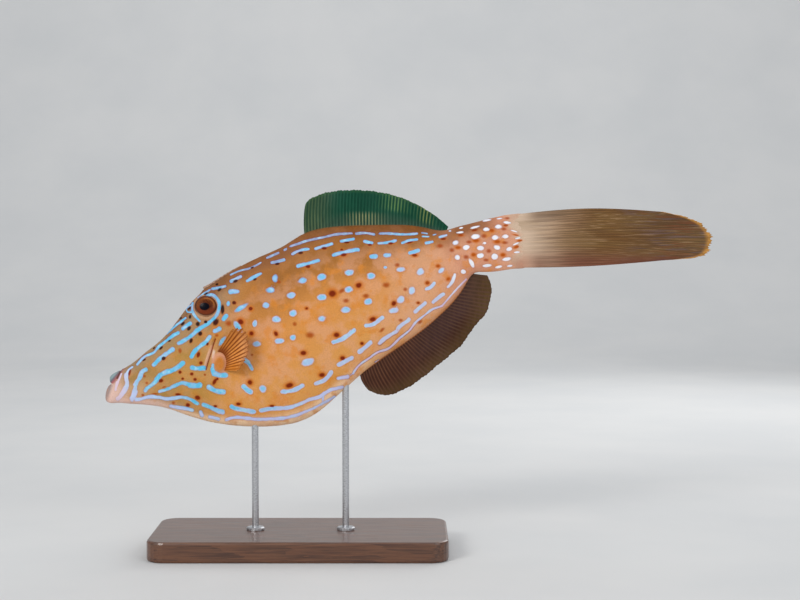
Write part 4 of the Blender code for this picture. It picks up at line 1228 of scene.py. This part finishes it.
def plate_piece(name, middle, half_thickness, material, **fields):
    """Make a closed thin plate from a grid of middle points and its half thickness.

    The fields are stored on its front and back alike, colours where they have three parts.
    """
    normals = np.cross(np.gradient(middle, axis=0), np.gradient(middle, axis=1))
    normals /= np.linalg.norm(normals, axis=-1, keepdims=True) + 1e-9
    offset = normals * half_thickness[..., None]
    rows, columns = middle.shape[:2]
    points = np.concatenate(((middle + offset).reshape(-1, 3), (middle - offset).reshape(-1, 3)))
    back = rows * columns
    faces = []
    for i in range(rows - 1):
        for k in range(columns - 1):
            corner = i * columns + k
            quad = (corner, corner + 1, corner + columns + 1, corner + columns)
            faces.append(quad)
            faces.append(tuple(back + c for c in reversed(quad)))
    rim = list(range(columns))
    rim += [i * columns + columns - 1 for i in range(1, rows)]
    rim += [(rows - 1) * columns + k for k in range(columns - 2, -1, -1)]
    rim += [i * columns for i in range(rows - 2, 0, -1)]
    for a, b in zip(rim, rim[1:] + rim[:1]):
        faces.append((b, a, back + a, back + b))
    piece = make_closed(name, points, faces, material)

    def place_corners(corners):
        behind = corners >= back
        row, column = np.divmod(corners % back, columns)
        place = np.stack((column / (columns - 1.0), row / (rows - 1.0)), axis=1) - 0.5
        if behind.any() and not behind.all():
            place[behind] *= 1.02
            behind = np.zeros_like(behind)
        return place * (0.97, 0.47) + np.stack((np.full(len(row), 0.5), 0.25 + 0.5 * behind), axis=1)

    lay_out(piece, place_corners)
    for field, values in fields.items():
        coloured = np.shape(values)[2:] == (3,)
        flat = values.reshape(-1, 3) if coloured else np.broadcast_to(values, (rows, columns)).reshape(-1, 1)
        give(piece, field, np.concatenate((flat, flat)), "FLOAT_COLOR" if coloured else "FLOAT")
    return piece


def ray_profile(across, rays, width):
    """Return 1 on each ray's middle and 0 between rays, across a fin from 0 to 1."""
    place = across * rays
    return hump(place - np.floor(place) - 0.5, width)


def median_fin(node, upper, base_x, tips, rays, lean, web_zones, ray_zones, foot_colour):
    """Make the dorsal or anal fin with its rays standing out from the membrane."""
    columns = rays * FIN_RAY_COLUMNS + 1
    across = np.linspace(0.0, 1.0, columns)
    base_along = base_x[0] + (base_x[1] - base_x[0]) * across
    depth = FIN_ROOT_DEPTH if upper else -FIN_ROOT_DEPTH
    base = np.stack((base_along, body_rail(upper)(base_along) - depth), axis=1)
    edge = smooth_line(tips, columns)
    if upper:
        tip_x = np.linspace(tips[0][0], tips[-1][0], columns)
        tip_z = np.interp(tip_x, np.maximum.accumulate(edge[:, 0]), edge[:, 1])
        edge = np.stack((tip_x, tip_z), axis=1)
    out = (np.linspace(0.0, 1.0, FIN_ROWS) ** 0.9)[:, None]
    ray = ray_profile(across, rays, 0.26)[None, :]
    reach = (1.0 - 0.012 * (1.0 - ray) + waves(across, FIN_EDGE_WAVES) - 0.006) * out
    x, z = (base[None, :, axis] + (edge[None, :, axis] - base[None, :, axis]) * reach for axis in range(2))
    x = x + lean * np.sin(math.pi * out) * (1.0 - 0.3 * across)
    ripple = FIN_RIPPLE * np.sin(2.0 * math.pi * FIN_RIPPLE_WAVES * across) * reach ** 1.5
    pleat = 0.21 * np.sin(2.0 * math.pi * rays * across) * out * (1.0 - out)
    middle = np.stack((x, ripple + sway(x) + pleat, z), axis=-1)
    membrane = 0.30 - 0.14 * out
    stem = (0.45 * (1.0 - out) ** 1.5 + 0.13 * (1.0 - 0.5 * out)) * ray
    half = membrane + stem + 0.5 * smooth_step(out, 0.12, 0.0)
    measures = {"px": picture_place(middle)[..., 0], "out": out}
    rear = share(measures, REAR_OF_ANAL_FIN)
    measures["rear_or_edge"] = np.maximum(rear, smooth_step(out, 0.55, 0.95))
    fin = plate_piece(node + "_rays", middle, half, median_fin_material(node, foot_colour),
                      web_tone=lay_zones(web_zones, measures), ray_tone=lay_zones(ray_zones, measures),
                      ray=ray, out=out)
    declare(fin, "dark_fins", node)


def median_fin_material(name, foot_colour):
    """Thin painted membrane with fine jointed rays of its own colour."""
    nodes = Nodes(name)
    out = nodes.attribute("out")
    ray = nodes.attribute("ray")
    web = nodes.attribute("web_tone", "Color")
    streak = nodes.noise(2.4, 3.0, (1.0, 1.0, 0.25))
    joint = nodes.calculate("FRACT", nodes.times(out, 34.0))
    band = nodes.ramp(nodes.noise(26.0, 1.0), 0.40, 0.62, 0.55, 1.0)
    colour = nodes.cover(
        nodes.shade(web, nodes.ramp(streak, 0.3, 0.7, 1.12, 0.82)),
        (nodes.times(nodes.ramp(ray, 0.25, 0.95), band), nodes.attribute("ray_tone", "Color")),
        (nodes.times(nodes.ramp(joint, 0.75, 0.95), nodes.ramp(ray, 0.4, 0.9), 0.35), web),
        (nodes.ramp(out, 0.075, 0.035), foot_colour))
    nodes.bump(nodes.plus(nodes.noise(0.7, 2.0), nodes.times(joint, 0.3)), 0.08, 0.5)
    return nodes.finish(colour, nodes.ramp(streak, 0.2, 0.8, 0.42, 0.55), Specular_IOR_Level=0.12)


def tail_branches(across, out):
    """Return how close each place is to a tail ray, which splits in two and again in two."""
    place = (across + waves(across, TAIL_RAY_WAVES)) * TAIL_RAYS
    inside = np.abs(place - np.floor(place) - 0.5)
    first = smooth_step(out, 0.16, 0.42)
    second = smooth_step(out, 0.48, 0.75)
    distance = np.abs(np.abs(inside - 0.25 * first) - 0.125 * second)
    return hump(distance, 0.17 - 0.05 * first - 0.065 * second)


def make_tail_fin():
    """Make the long tail fin with its branched rays and ragged end."""
    columns = TAIL_RAYS * TAIL_BRANCHES * TAIL_BRANCH_COLUMNS + 1
    across = np.linspace(0.0, 1.0, columns)
    ends = np.array((TAIL_ROOT, TAIL_MIDDLE))
    root, bend = (start + across[:, None] * (end - start) for start, end in ends)
    edge = smooth_line(TAIL_END, columns)
    out = np.linspace(0.0, 1.0, TAIL_ROWS)[:, None] ** 1.25
    ray = tail_branches(across, out)
    reach = out * (1.0 - 0.008 * (1.0 - ray[-1]) + waves(across, TAIL_EDGE_WAVES) - 0.004)
    run = np.linspace(0.0, 1.0, 400)
    through = natural_spline((0.0, 0.5, 1.0), np.stack((root, bend, edge)).reshape(3, -1))
    curve = through(run).reshape(len(run), columns, 2)
    x, z = (np.stack([np.interp(reach[:, k], run, curve[:, k, axis]) for k in range(columns)], axis=1)
            for axis in range(2))
    y = TAIL_RIPPLE * np.sin(2.0 * math.pi * (1.4 * across + 0.6 * reach)) * reach ** 2 + sway(x)
    foot = 1.9 * np.exp(-reach / 0.13) * smooth_step(np.minimum(across, 1.0 - across), 0.0, 0.12)
    half = (0.16 + 0.20 * (1.0 - reach) + foot) + (0.19 - 0.07 * reach) * ray
    middle = np.stack((x, y, z), axis=-1)
    fin = plate_piece("caudal_fin_rays", middle, half, tail_material(),
                      bare=past_skin_edge(picture_place(middle)), ray=ray, out=reach, across=across)
    declare(fin, "tail_fin", "caudal_fin")


def tail_material():
    """Tan tail fin: pale root, brown middle, violet streaks and a yellowish ragged edge."""
    nodes = Nodes("tail fin")
    out = nodes.attribute("out")
    ray = nodes.attribute("ray")
    across = nodes.attribute("across")
    streak = nodes.noise(5.0, 4.0, (0.08, 1.0, 1.0))
    fine = nodes.noise(1.2, 3.0, (0.018, 1.0, 1.0))
    thin = nodes.noise(1.7, 3.0, (0.022, 1.0, 1.0))
    broad = nodes.noise(16.0, 3.0, (0.22, 1.0, 1.0))
    fan = nodes.ramp(out, 0.09, 0.22)
    # Painted shade: a darker band along the inner half of the tail fin's top edge.
    top_edge_shade = nodes.times(nodes.ramp(across, 0.26, 0.04), nodes.ramp(out, 0.07, 0.22, 0.0, 0.7))
    low_edge = nodes.ramp(across, 0.62, 0.97)
    pink = nodes.times(low_edge, nodes.ramp(out, 0.45, 0.15), nodes.ramp(out, 0.06, 0.20, 0.0, 0.85))
    colour = nodes.cover(
        TAIL_ROOT_BEIGE,
        (nodes.ramp(out, 0.10, 0.42), TAIL_TAN),
        (nodes.ramp(out, 0.27, 0.59), TAIL_BROWN),
        (nodes.ramp(out, 0.60, 0.90, 0.0, 0.8), TAIL_DARK),
        (nodes.ramp(broad, 0.42, 0.66, 0.0, 0.4), TAIL_OLIVE),
        (nodes.times(nodes.ramp(streak, 0.55, 0.72), nodes.ramp(out, 0.42, 0.1), 0.5), TAIL_CREAM),
        (nodes.times(nodes.ramp(fine, 0.52, 0.70, 0.0, 0.35), fan), TAIL_STREAK_DARK),
        (nodes.times(nodes.ramp(fine, 0.46, 0.30, 0.0, 0.30), fan), TAIL_STREAK_LIGHT),
        (nodes.times(nodes.ramp(thin, 0.52, 0.64), nodes.ramp(out, 0.62, 0.88), 0.5), TAIL_STREAK_VIOLET),
        (nodes.times(nodes.ramp(thin, 0.48, 0.36), nodes.ramp(out, 0.70, 0.93), 0.6), TAIL_STREAK_RED),
        (nodes.times(top_edge_shade, nodes.ramp(out, 0.50, 0.30)), TAIL_TOP_SHADE),
        (pink, TAIL_LOW_PINK),
        (nodes.times(nodes.ramp(across, 0.62, 0.94), nodes.ramp(out, 0.21, 0.06)), TAIL_EDGE_PINK),
        (nodes.times(low_edge, nodes.ramp(out, 0.15, 0.45), 0.8), TAIL_LOW_RED),
        (nodes.ramp(nodes.attribute("bare"), *SKIN_EDGE_BLEND_PX, 1.0, 0.0), PEDUNCLE_PINK))
    groove = nodes.ramp(ray, 0.10, 0.60, nodes.ramp(out, 0.09, 0.36, 0.98, 0.72), 1.04)
    joint = nodes.calculate("FRACT", nodes.times(out, 120.0))
    ragged = nodes.ramp(nodes.noise(3.0), 0.3, 0.6, 0.5, 1.0)
    colour = nodes.cover(
        nodes.shade(colour, groove),
        (nodes.times(nodes.ramp(joint, 0.7, 0.95), nodes.ramp(ray, 0.3, 0.8), 0.25), TAIL_JOINT_BROWN),
        (nodes.times(ragged, nodes.ramp(out, 0.965, 0.99)), TAIL_TIP_YELLOW))
    nodes.bump(nodes.plus(nodes.noise(0.8, 2.0), nodes.times(joint, 0.4)), 0.1, 0.5)
    return nodes.finish(colour, nodes.ramp(streak, 0.2, 0.8, 0.42, 0.56), Specular_IOR_Level=0.2)


def make_pectoral_fin(side, sign, material):
    """Make a pectoral fin, a thin fan with its rays standing out."""
    columns = PECTORAL_RAYS * PECTORAL_RAY_COLUMNS + 1
    across = np.linspace(0.0, 1.0, columns)[None, :]
    root = smooth_line(PECTORAL_ROOT_PX, columns)
    edge = smooth_line(PECTORAL_TIPS_PX, columns)
    out = np.linspace(0.0, 1.0, PECTORAL_ROWS)[:, None]
    ray = ray_profile(across, PECTORAL_RAYS, 0.22)
    reach = out * (1.0 - 0.06 * (1.0 - ray) + 0.012 * np.sin(across * 40.0) - 0.012)
    places = root + (edge - root) * reach[..., None]
    cup = PECTORAL_CUP * np.sin(math.pi * reach) * np.sin(math.pi * across)
    slope = math.tan(PECTORAL_FLARES[side])
    aside = np.full(cup.shape, PECTORAL_ROOT_OUT)
    for _ in range(3):
        x, z = model_place(places, -aside)
        aside = PECTORAL_ROOT_OUT + slope * (x - x[0]) - cup
    half = 0.10 + 0.25 * np.exp(-out / 0.1) + (0.18 - 0.08 * out) * ray
    middle = np.stack((x, sign * aside, z), axis=-1)
    fin = plate_piece("pectoral_fan_" + side, middle, half, material, ray=ray, out=out, across=across)
    declare(fin, "pectoral_fins", "pectoral_fin_" + side)


def pectoral_material():
    """Amber membrane with brown rays, half clear between the rays' tips."""
    nodes = Nodes("pectoral fin")
    ray = nodes.attribute("ray")
    out = nodes.attribute("out")
    across = nodes.attribute("across")
    rays = nodes.cover(
        PECTORAL_RAY_GOLD,
        (nodes.ramp(across, 0.0, 0.16), PECTORAL_RAY_BROWN),
        (nodes.ramp(across, 0.72, 1.0, 0.0, 0.8), PECTORAL_RAY_AMBER))
    root = nodes.times(nodes.ramp(out, 0.34, 0.02), nodes.ramp(across, 0.75, 0.25, 0.55, 0.9))
    colour = nodes.cover(
        PECTORAL_AMBER,
        (nodes.ramp(nodes.noise(3.0), 0.3, 0.7), PECTORAL_GOLD),
        (nodes.ramp(out, 0.45, 0.95, 0.0, 0.6), PECTORAL_PINK),
        (nodes.ramp(across, 0.45, 0.15, 0.0, 0.75), PECTORAL_UPPER),
        (nodes.ramp(across, 0.70, 0.90, 0.0, 0.7), PECTORAL_LOWER),
        (nodes.times(nodes.ramp(ray, 0.20, 0.66), nodes.ramp(out, 0.55, 1.0, 0.94, 0.72)), rays),
        (root, PECTORAL_ROOT_BROWN))
    solid = nodes.calculate("MAXIMUM", nodes.ramp(ray, 0.02, 0.32), nodes.ramp(out, 0.96, 0.80, 0.45, 1.0))
    nodes.put(nodes.shader.inputs["Alpha"], solid)
    nodes.bump(nodes.noise(1.6, 1.0), 0.03, 0.3)
    return nodes.finish(colour, nodes.ramp(nodes.noise(2.0), 0.2, 0.8, 0.42, 0.56), Specular_IOR_Level=0.12)


def eye_material():
    """Glossy eye: dark oval pupil, brown iris with a golden arc, darker rim."""
    nodes = Nodes("eye")
    place = nodes.attribute("iris", "Vector")
    right, up, _ = nodes.make("ShaderNodeSeparateXYZ", place).outputs
    radius = nodes.length(place)
    streak = nodes.noise(1.1, 3.0)
    low = nodes.times(nodes.ramp(up, 0.05, -0.5), nodes.ramp(radius, 0.35, 0.6), 0.7)
    from_arc = nodes.calculate("ABSOLUTE", nodes.times(nodes.minus(radius, 0.66), 14.0))
    arc = nodes.calculate("SUBTRACT", 1.0, from_arc, clamp=True)
    lid = nodes.mix(nodes.ramp(nodes.minus(right, up), -0.9, 0.3), EYE_LID_DARK, EYE_LID_LIGHT)
    turn = (0.0, 0.0, math.radians(28.0))
    pupil = nodes.make("ShaderNodeMapping", place, (0.025, 0.17, 0.0), turn, (0.98, 1.16, 1.0)).outputs[0]
    colour = nodes.cover(
        IRIS_DARK,
        (nodes.ramp(radius, 0.36, 0.72), IRIS_BROWN),
        (nodes.ramp(streak, 0.4, 0.7, 0.0, 0.4), IRIS_STREAK),
        (low, IRIS_RED),
        (nodes.times(arc, nodes.ramp(nodes.plus(right, up), 0.2, 0.8)), IRIS_GOLD),
        (nodes.ramp(radius, 0.76, 0.86), EYE_RIM),
        (nodes.ramp(radius, 0.86, 0.93), lid),
        (nodes.ramp(nodes.length(pupil), 0.36, 0.43, 1.0, 0.0), PUPIL_BLACK))
    nodes.bump(streak, 0.03, 0.3)
    return nodes.finish(colour, 0.35, Specular_IOR_Level=0.06, Coat_Weight=0.04, Coat_Roughness=0.08)


def make_eye(side, sign, material):
    """Make an eyeball with its pole on the line of sight."""
    tilt = np.linspace(0.0, math.pi, EYE_RINGS + 2)[1:-1]
    turn = np.linspace(0.0, 2.0 * math.pi, EYE_AROUND, endpoint=False)
    flat_x = np.outer(np.sin(tilt), np.cos(turn))
    flat_z = np.outer(np.sin(tilt), np.sin(turn))
    deep = np.repeat(np.cos(tilt)[:, None], EYE_AROUND, axis=1)
    half_x, half_y, half_z = EYE_HALF_SIZES
    points = np.stack((flat_x * half_x, sign * deep * half_y, flat_z * half_z), axis=-1).reshape(-1, 3)
    points = np.concatenate((points, ((0.0, sign * half_y, 0.0), (0.0, -sign * half_y, 0.0))))
    look = np.array(Matrix.Rotation(sign * EYE_LOOKS_UP, 3, "X"))
    points = points @ look.T + np.array(EYE_CENTRE) * (1.0, sign, 1.0)
    faces = ring_faces(EYE_RINGS, EYE_AROUND) + tip_faces(EYE_RINGS, EYE_AROUND)
    eye = make_closed("eyeball_" + side, points, faces, material)
    iris = np.stack((flat_x.ravel(), flat_z.ravel(), np.zeros(flat_x.size)), axis=1)
    give(eye, "iris", np.concatenate((iris, np.zeros((2, 3)))), "FLOAT_VECTOR")
    from_pole = np.concatenate((np.repeat(tilt, EYE_AROUND), (0.0, math.pi)))
    turned = np.concatenate((np.tile(turn, EYE_RINGS), (0.0, 0.0)))

    def place_corners(corners):
        behind = from_pole[corners].mean() > math.pi / 2.0
        reach = math.pi - from_pole[corners] if behind else from_pole[corners]
        spot = 0.24 * np.sin(reach / 2.0) / math.sin(math.radians(48.0))
        place = np.stack((np.cos(turned[corners]), np.sin(turned[corners])), axis=1) * spot[:, None]
        return place * (1.0, 2.0) + (0.75 if behind else 0.25, 0.5)

    lay_out(eye, place_corners)
    declare(eye, "eyes", "eye_" + side)


def make_spine():
    """Make the slender first dorsal spine, folded back, with its small barbs."""
    along = np.linspace(0.0, 1.0, SPINE_RINGS)
    x = SPINE_ROOT[0] + (SPINE_TIP_X - SPINE_ROOT[0]) * along
    radius = SPINE_ROOT_RADIUS + (SPINE_TIP_RADIUS - SPINE_ROOT_RADIUS) * along
    bump = SPINE_BUMP_HEIGHT * hump(x - SPINE_ROOT[0], SPINE_BUMP_WIDTH)
    z = body_rail(True)(x) + 0.55 * radius + bump
    turn = np.linspace(0.0, 2.0 * math.pi, SPINE_AROUND, endpoint=False)
    barb = 1.0 + 0.16 * np.maximum(0.0, np.sin(along * 70.0))[:, None] * np.cos(turn * 4.0) ** 2
    slope = np.arctan2(np.gradient(z), np.gradient(x))[:, None]
    ring_y = radius[:, None] * barb * np.sin(turn)
    ring_up = radius[:, None] * barb * np.cos(turn)
    points = np.stack((x[:, None] - ring_up * np.sin(slope), ring_y, z[:, None] + ring_up * np.cos(slope)),
                      axis=-1).reshape(-1, 3)
    ends = [tuple(range(SPINE_AROUND)), tuple(range(len(points) - SPINE_AROUND, len(points)))]
    nodes = Nodes("dorsal spine")
    speck = nodes.noise(2.0, 3.0)
    colour = nodes.mix(nodes.ramp(speck, 0.35, 0.65), SPINE_DARK, SPINE_LIGHT)
    nodes.bump(nodes.noise(0.5, 2.0), 0.08, 0.6)
    material = nodes.finish(colour, nodes.ramp(speck, 0.2, 0.8, 0.4, 0.6), Specular_IOR_Level=0.35)
    faces = ends + ring_faces(SPINE_RINGS, SPINE_AROUND)
    spine = make_closed("folded_dorsal_spine", points, faces, material)
    declare(spine, "spine", "dorsal_spine")


def wood_material():
    """Dark varnished wood with grain along X."""
    nodes = Nodes("dark varnished wood")
    figure = nodes.noise(26.0, 4.0, (0.12, 1.0, 1.0))
    grain = nodes.noise(1.4, 5.0, (0.035, 1.0, 1.0))
    pores = nodes.ramp(nodes.noise(0.8, 2.0, (0.05, 1.0, 1.0)), 0.60, 0.72)
    rings = nodes.calculate("FRACT", nodes.times(figure, 9.0))
    colour = nodes.cover(
        WOOD_LIGHT,
        (nodes.ramp(rings, 0.1, 0.9), WOOD_DARK),
        (nodes.ramp(grain, 0.35, 0.65, 0.0, 0.6), WOOD_GRAIN),
        (nodes.times(pores, 0.6), WOOD_PORE))
    nodes.bump(nodes.minus(grain, pores), 0.05, 0.35)
    roughness = nodes.ramp(grain, 0.2, 0.8, 0.28, 0.42)
    return nodes.finish(colour, roughness, Coat_Weight=0.35, Coat_Roughness=0.18)


def steel_material():
    """Brushed steel with fine rings round the rod."""
    nodes = Nodes("brushed steel")
    brush = nodes.noise(0.35, 3.0, (0.15, 0.15, 1.0))
    smudge = nodes.ramp(nodes.noise(12.0), 0.4, 0.8, 0.0, 0.08)
    colour = nodes.mix(nodes.ramp(brush, 0.3, 0.7), STEEL_DARK, STEEL_LIGHT)
    nodes.bump(brush, 0.02, 0.4)
    return nodes.finish(colour, nodes.plus(nodes.ramp(brush, 0.3, 0.7, 0.24, 0.38), smudge), Metallic=1.0)


def dress_stand():
    """Give the stand's CAD nodes their materials."""
    wood = wood_material()
    steel = steel_material()
    for name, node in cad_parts.items():
        if name.startswith("stand_"):
            node.data.materials.clear()
            node.data.materials.append(wood if name == "stand_base" else steel)


def make_camera():
    """Make the camera that gives the picture's framing."""
    camera = bpy.data.cameras.new("camera")
    camera.sensor_width = SENSOR
    camera.lens = SENSOR * VIEW_DISTANCE / (PICTURE[0] * PIXEL)
    camera.clip_end = 20.0
    viewer = bpy.data.objects.new("camera", camera)
    back = Vector((0.0, -math.cos(VIEW_DOWN), math.sin(VIEW_DOWN)))
    viewer.location = (Vector(VIEW_CENTRE) + back * VIEW_DISTANCE) * MM
    viewer.rotation_euler = (math.pi / 2.0 - VIEW_DOWN, 0.0, 0.0)
    bpy.context.scene.collection.objects.link(viewer)
    bpy.context.scene.camera = viewer


def make_lamp(name, place, aim, size, watts, colour):
    """Make a soft square lamp that faces aim."""
    lamp = bpy.data.lights.new(name, "AREA")
    lamp.shape = "SQUARE"
    lamp.size = size * MM
    lamp.energy = watts
    lamp.color = colour
    holder = bpy.data.objects.new(name, lamp)
    holder.location = Vector(place) * MM
    holder.rotation_mode = "QUATERNION"
    holder.rotation_quaternion = (Vector(aim) - Vector(place)).to_track_quat("-Z", "Y")
    bpy.context.scene.collection.objects.link(holder)


def make_studio():
    """Make the pale floor that curves up behind, the lamps and the plain surroundings."""
    nodes = Nodes("pale floor")
    colour = nodes.mix(nodes.ramp(nodes.noise(220.0), 0.2, 0.8), FLOOR_DARK, FLOOR_LIGHT)
    material = nodes.finish(colour, 0.85, Specular_IOR_Level=0.2)
    profile = [(FLOOR_FRONT, 0.0)]
    for step in range(WALL_CURVE_STEPS + 1):
        turn = math.radians(90.0 * step / WALL_CURVE_STEPS)
        profile.append((FLOOR_BACK + WALL_CURVE * math.sin(turn), WALL_CURVE * (1.0 - math.cos(turn))))
    profile.append((FLOOR_BACK + WALL_CURVE, WALL_TOP))
    points = [(x, y, z) for y, z in profile for x in (-FLOOR_HALF_WIDTH, FLOOR_HALF_WIDTH)]
    faces = [(2 * i, 2 * i + 1, 2 * i + 3, 2 * i + 2) for i in range(len(profile) - 1)]
    floor = make_piece("studio_floor", points, faces, material)
    for lamp in LAMPS:
        make_lamp(*lamp)
    world = bpy.data.worlds.new("studio")
    world.use_nodes = True
    background = world.node_tree.nodes["Background"]
    background.inputs["Color"].default_value = (0.92, 0.95, 1.0, 1.0)
    background.inputs["Strength"].default_value = 0.55
    bpy.context.scene.world = world
    bpy.context.scene.view_settings.view_transform = "Standard"


make_camera()
make_studio()
make_skin()
eye_look = eye_material()
pectoral_look = pectoral_material()
for side, sign in (("left", -1.0), ("right", 1.0)):
    make_eye(side, sign, eye_look)
    make_pectoral_fin(side, sign, pectoral_look)
make_spine()
median_fin("dorsal_fin", True, DORSAL_BASE_X, DORSAL_TIPS, DORSAL_RAYS, DORSAL_LEAN,
           DORSAL_WEB_ZONES, DORSAL_RAY_ZONES, DORSAL_FOOT_BROWN)
median_fin("anal_fin", False, ANAL_BASE_X, ANAL_TIPS, ANAL_RAYS, ANAL_LEAN,
           ANAL_WEB_ZONES, ANAL_RAY_ZONES, ANAL_FOOT_ORANGE)
make_tail_fin()
dress_stand()
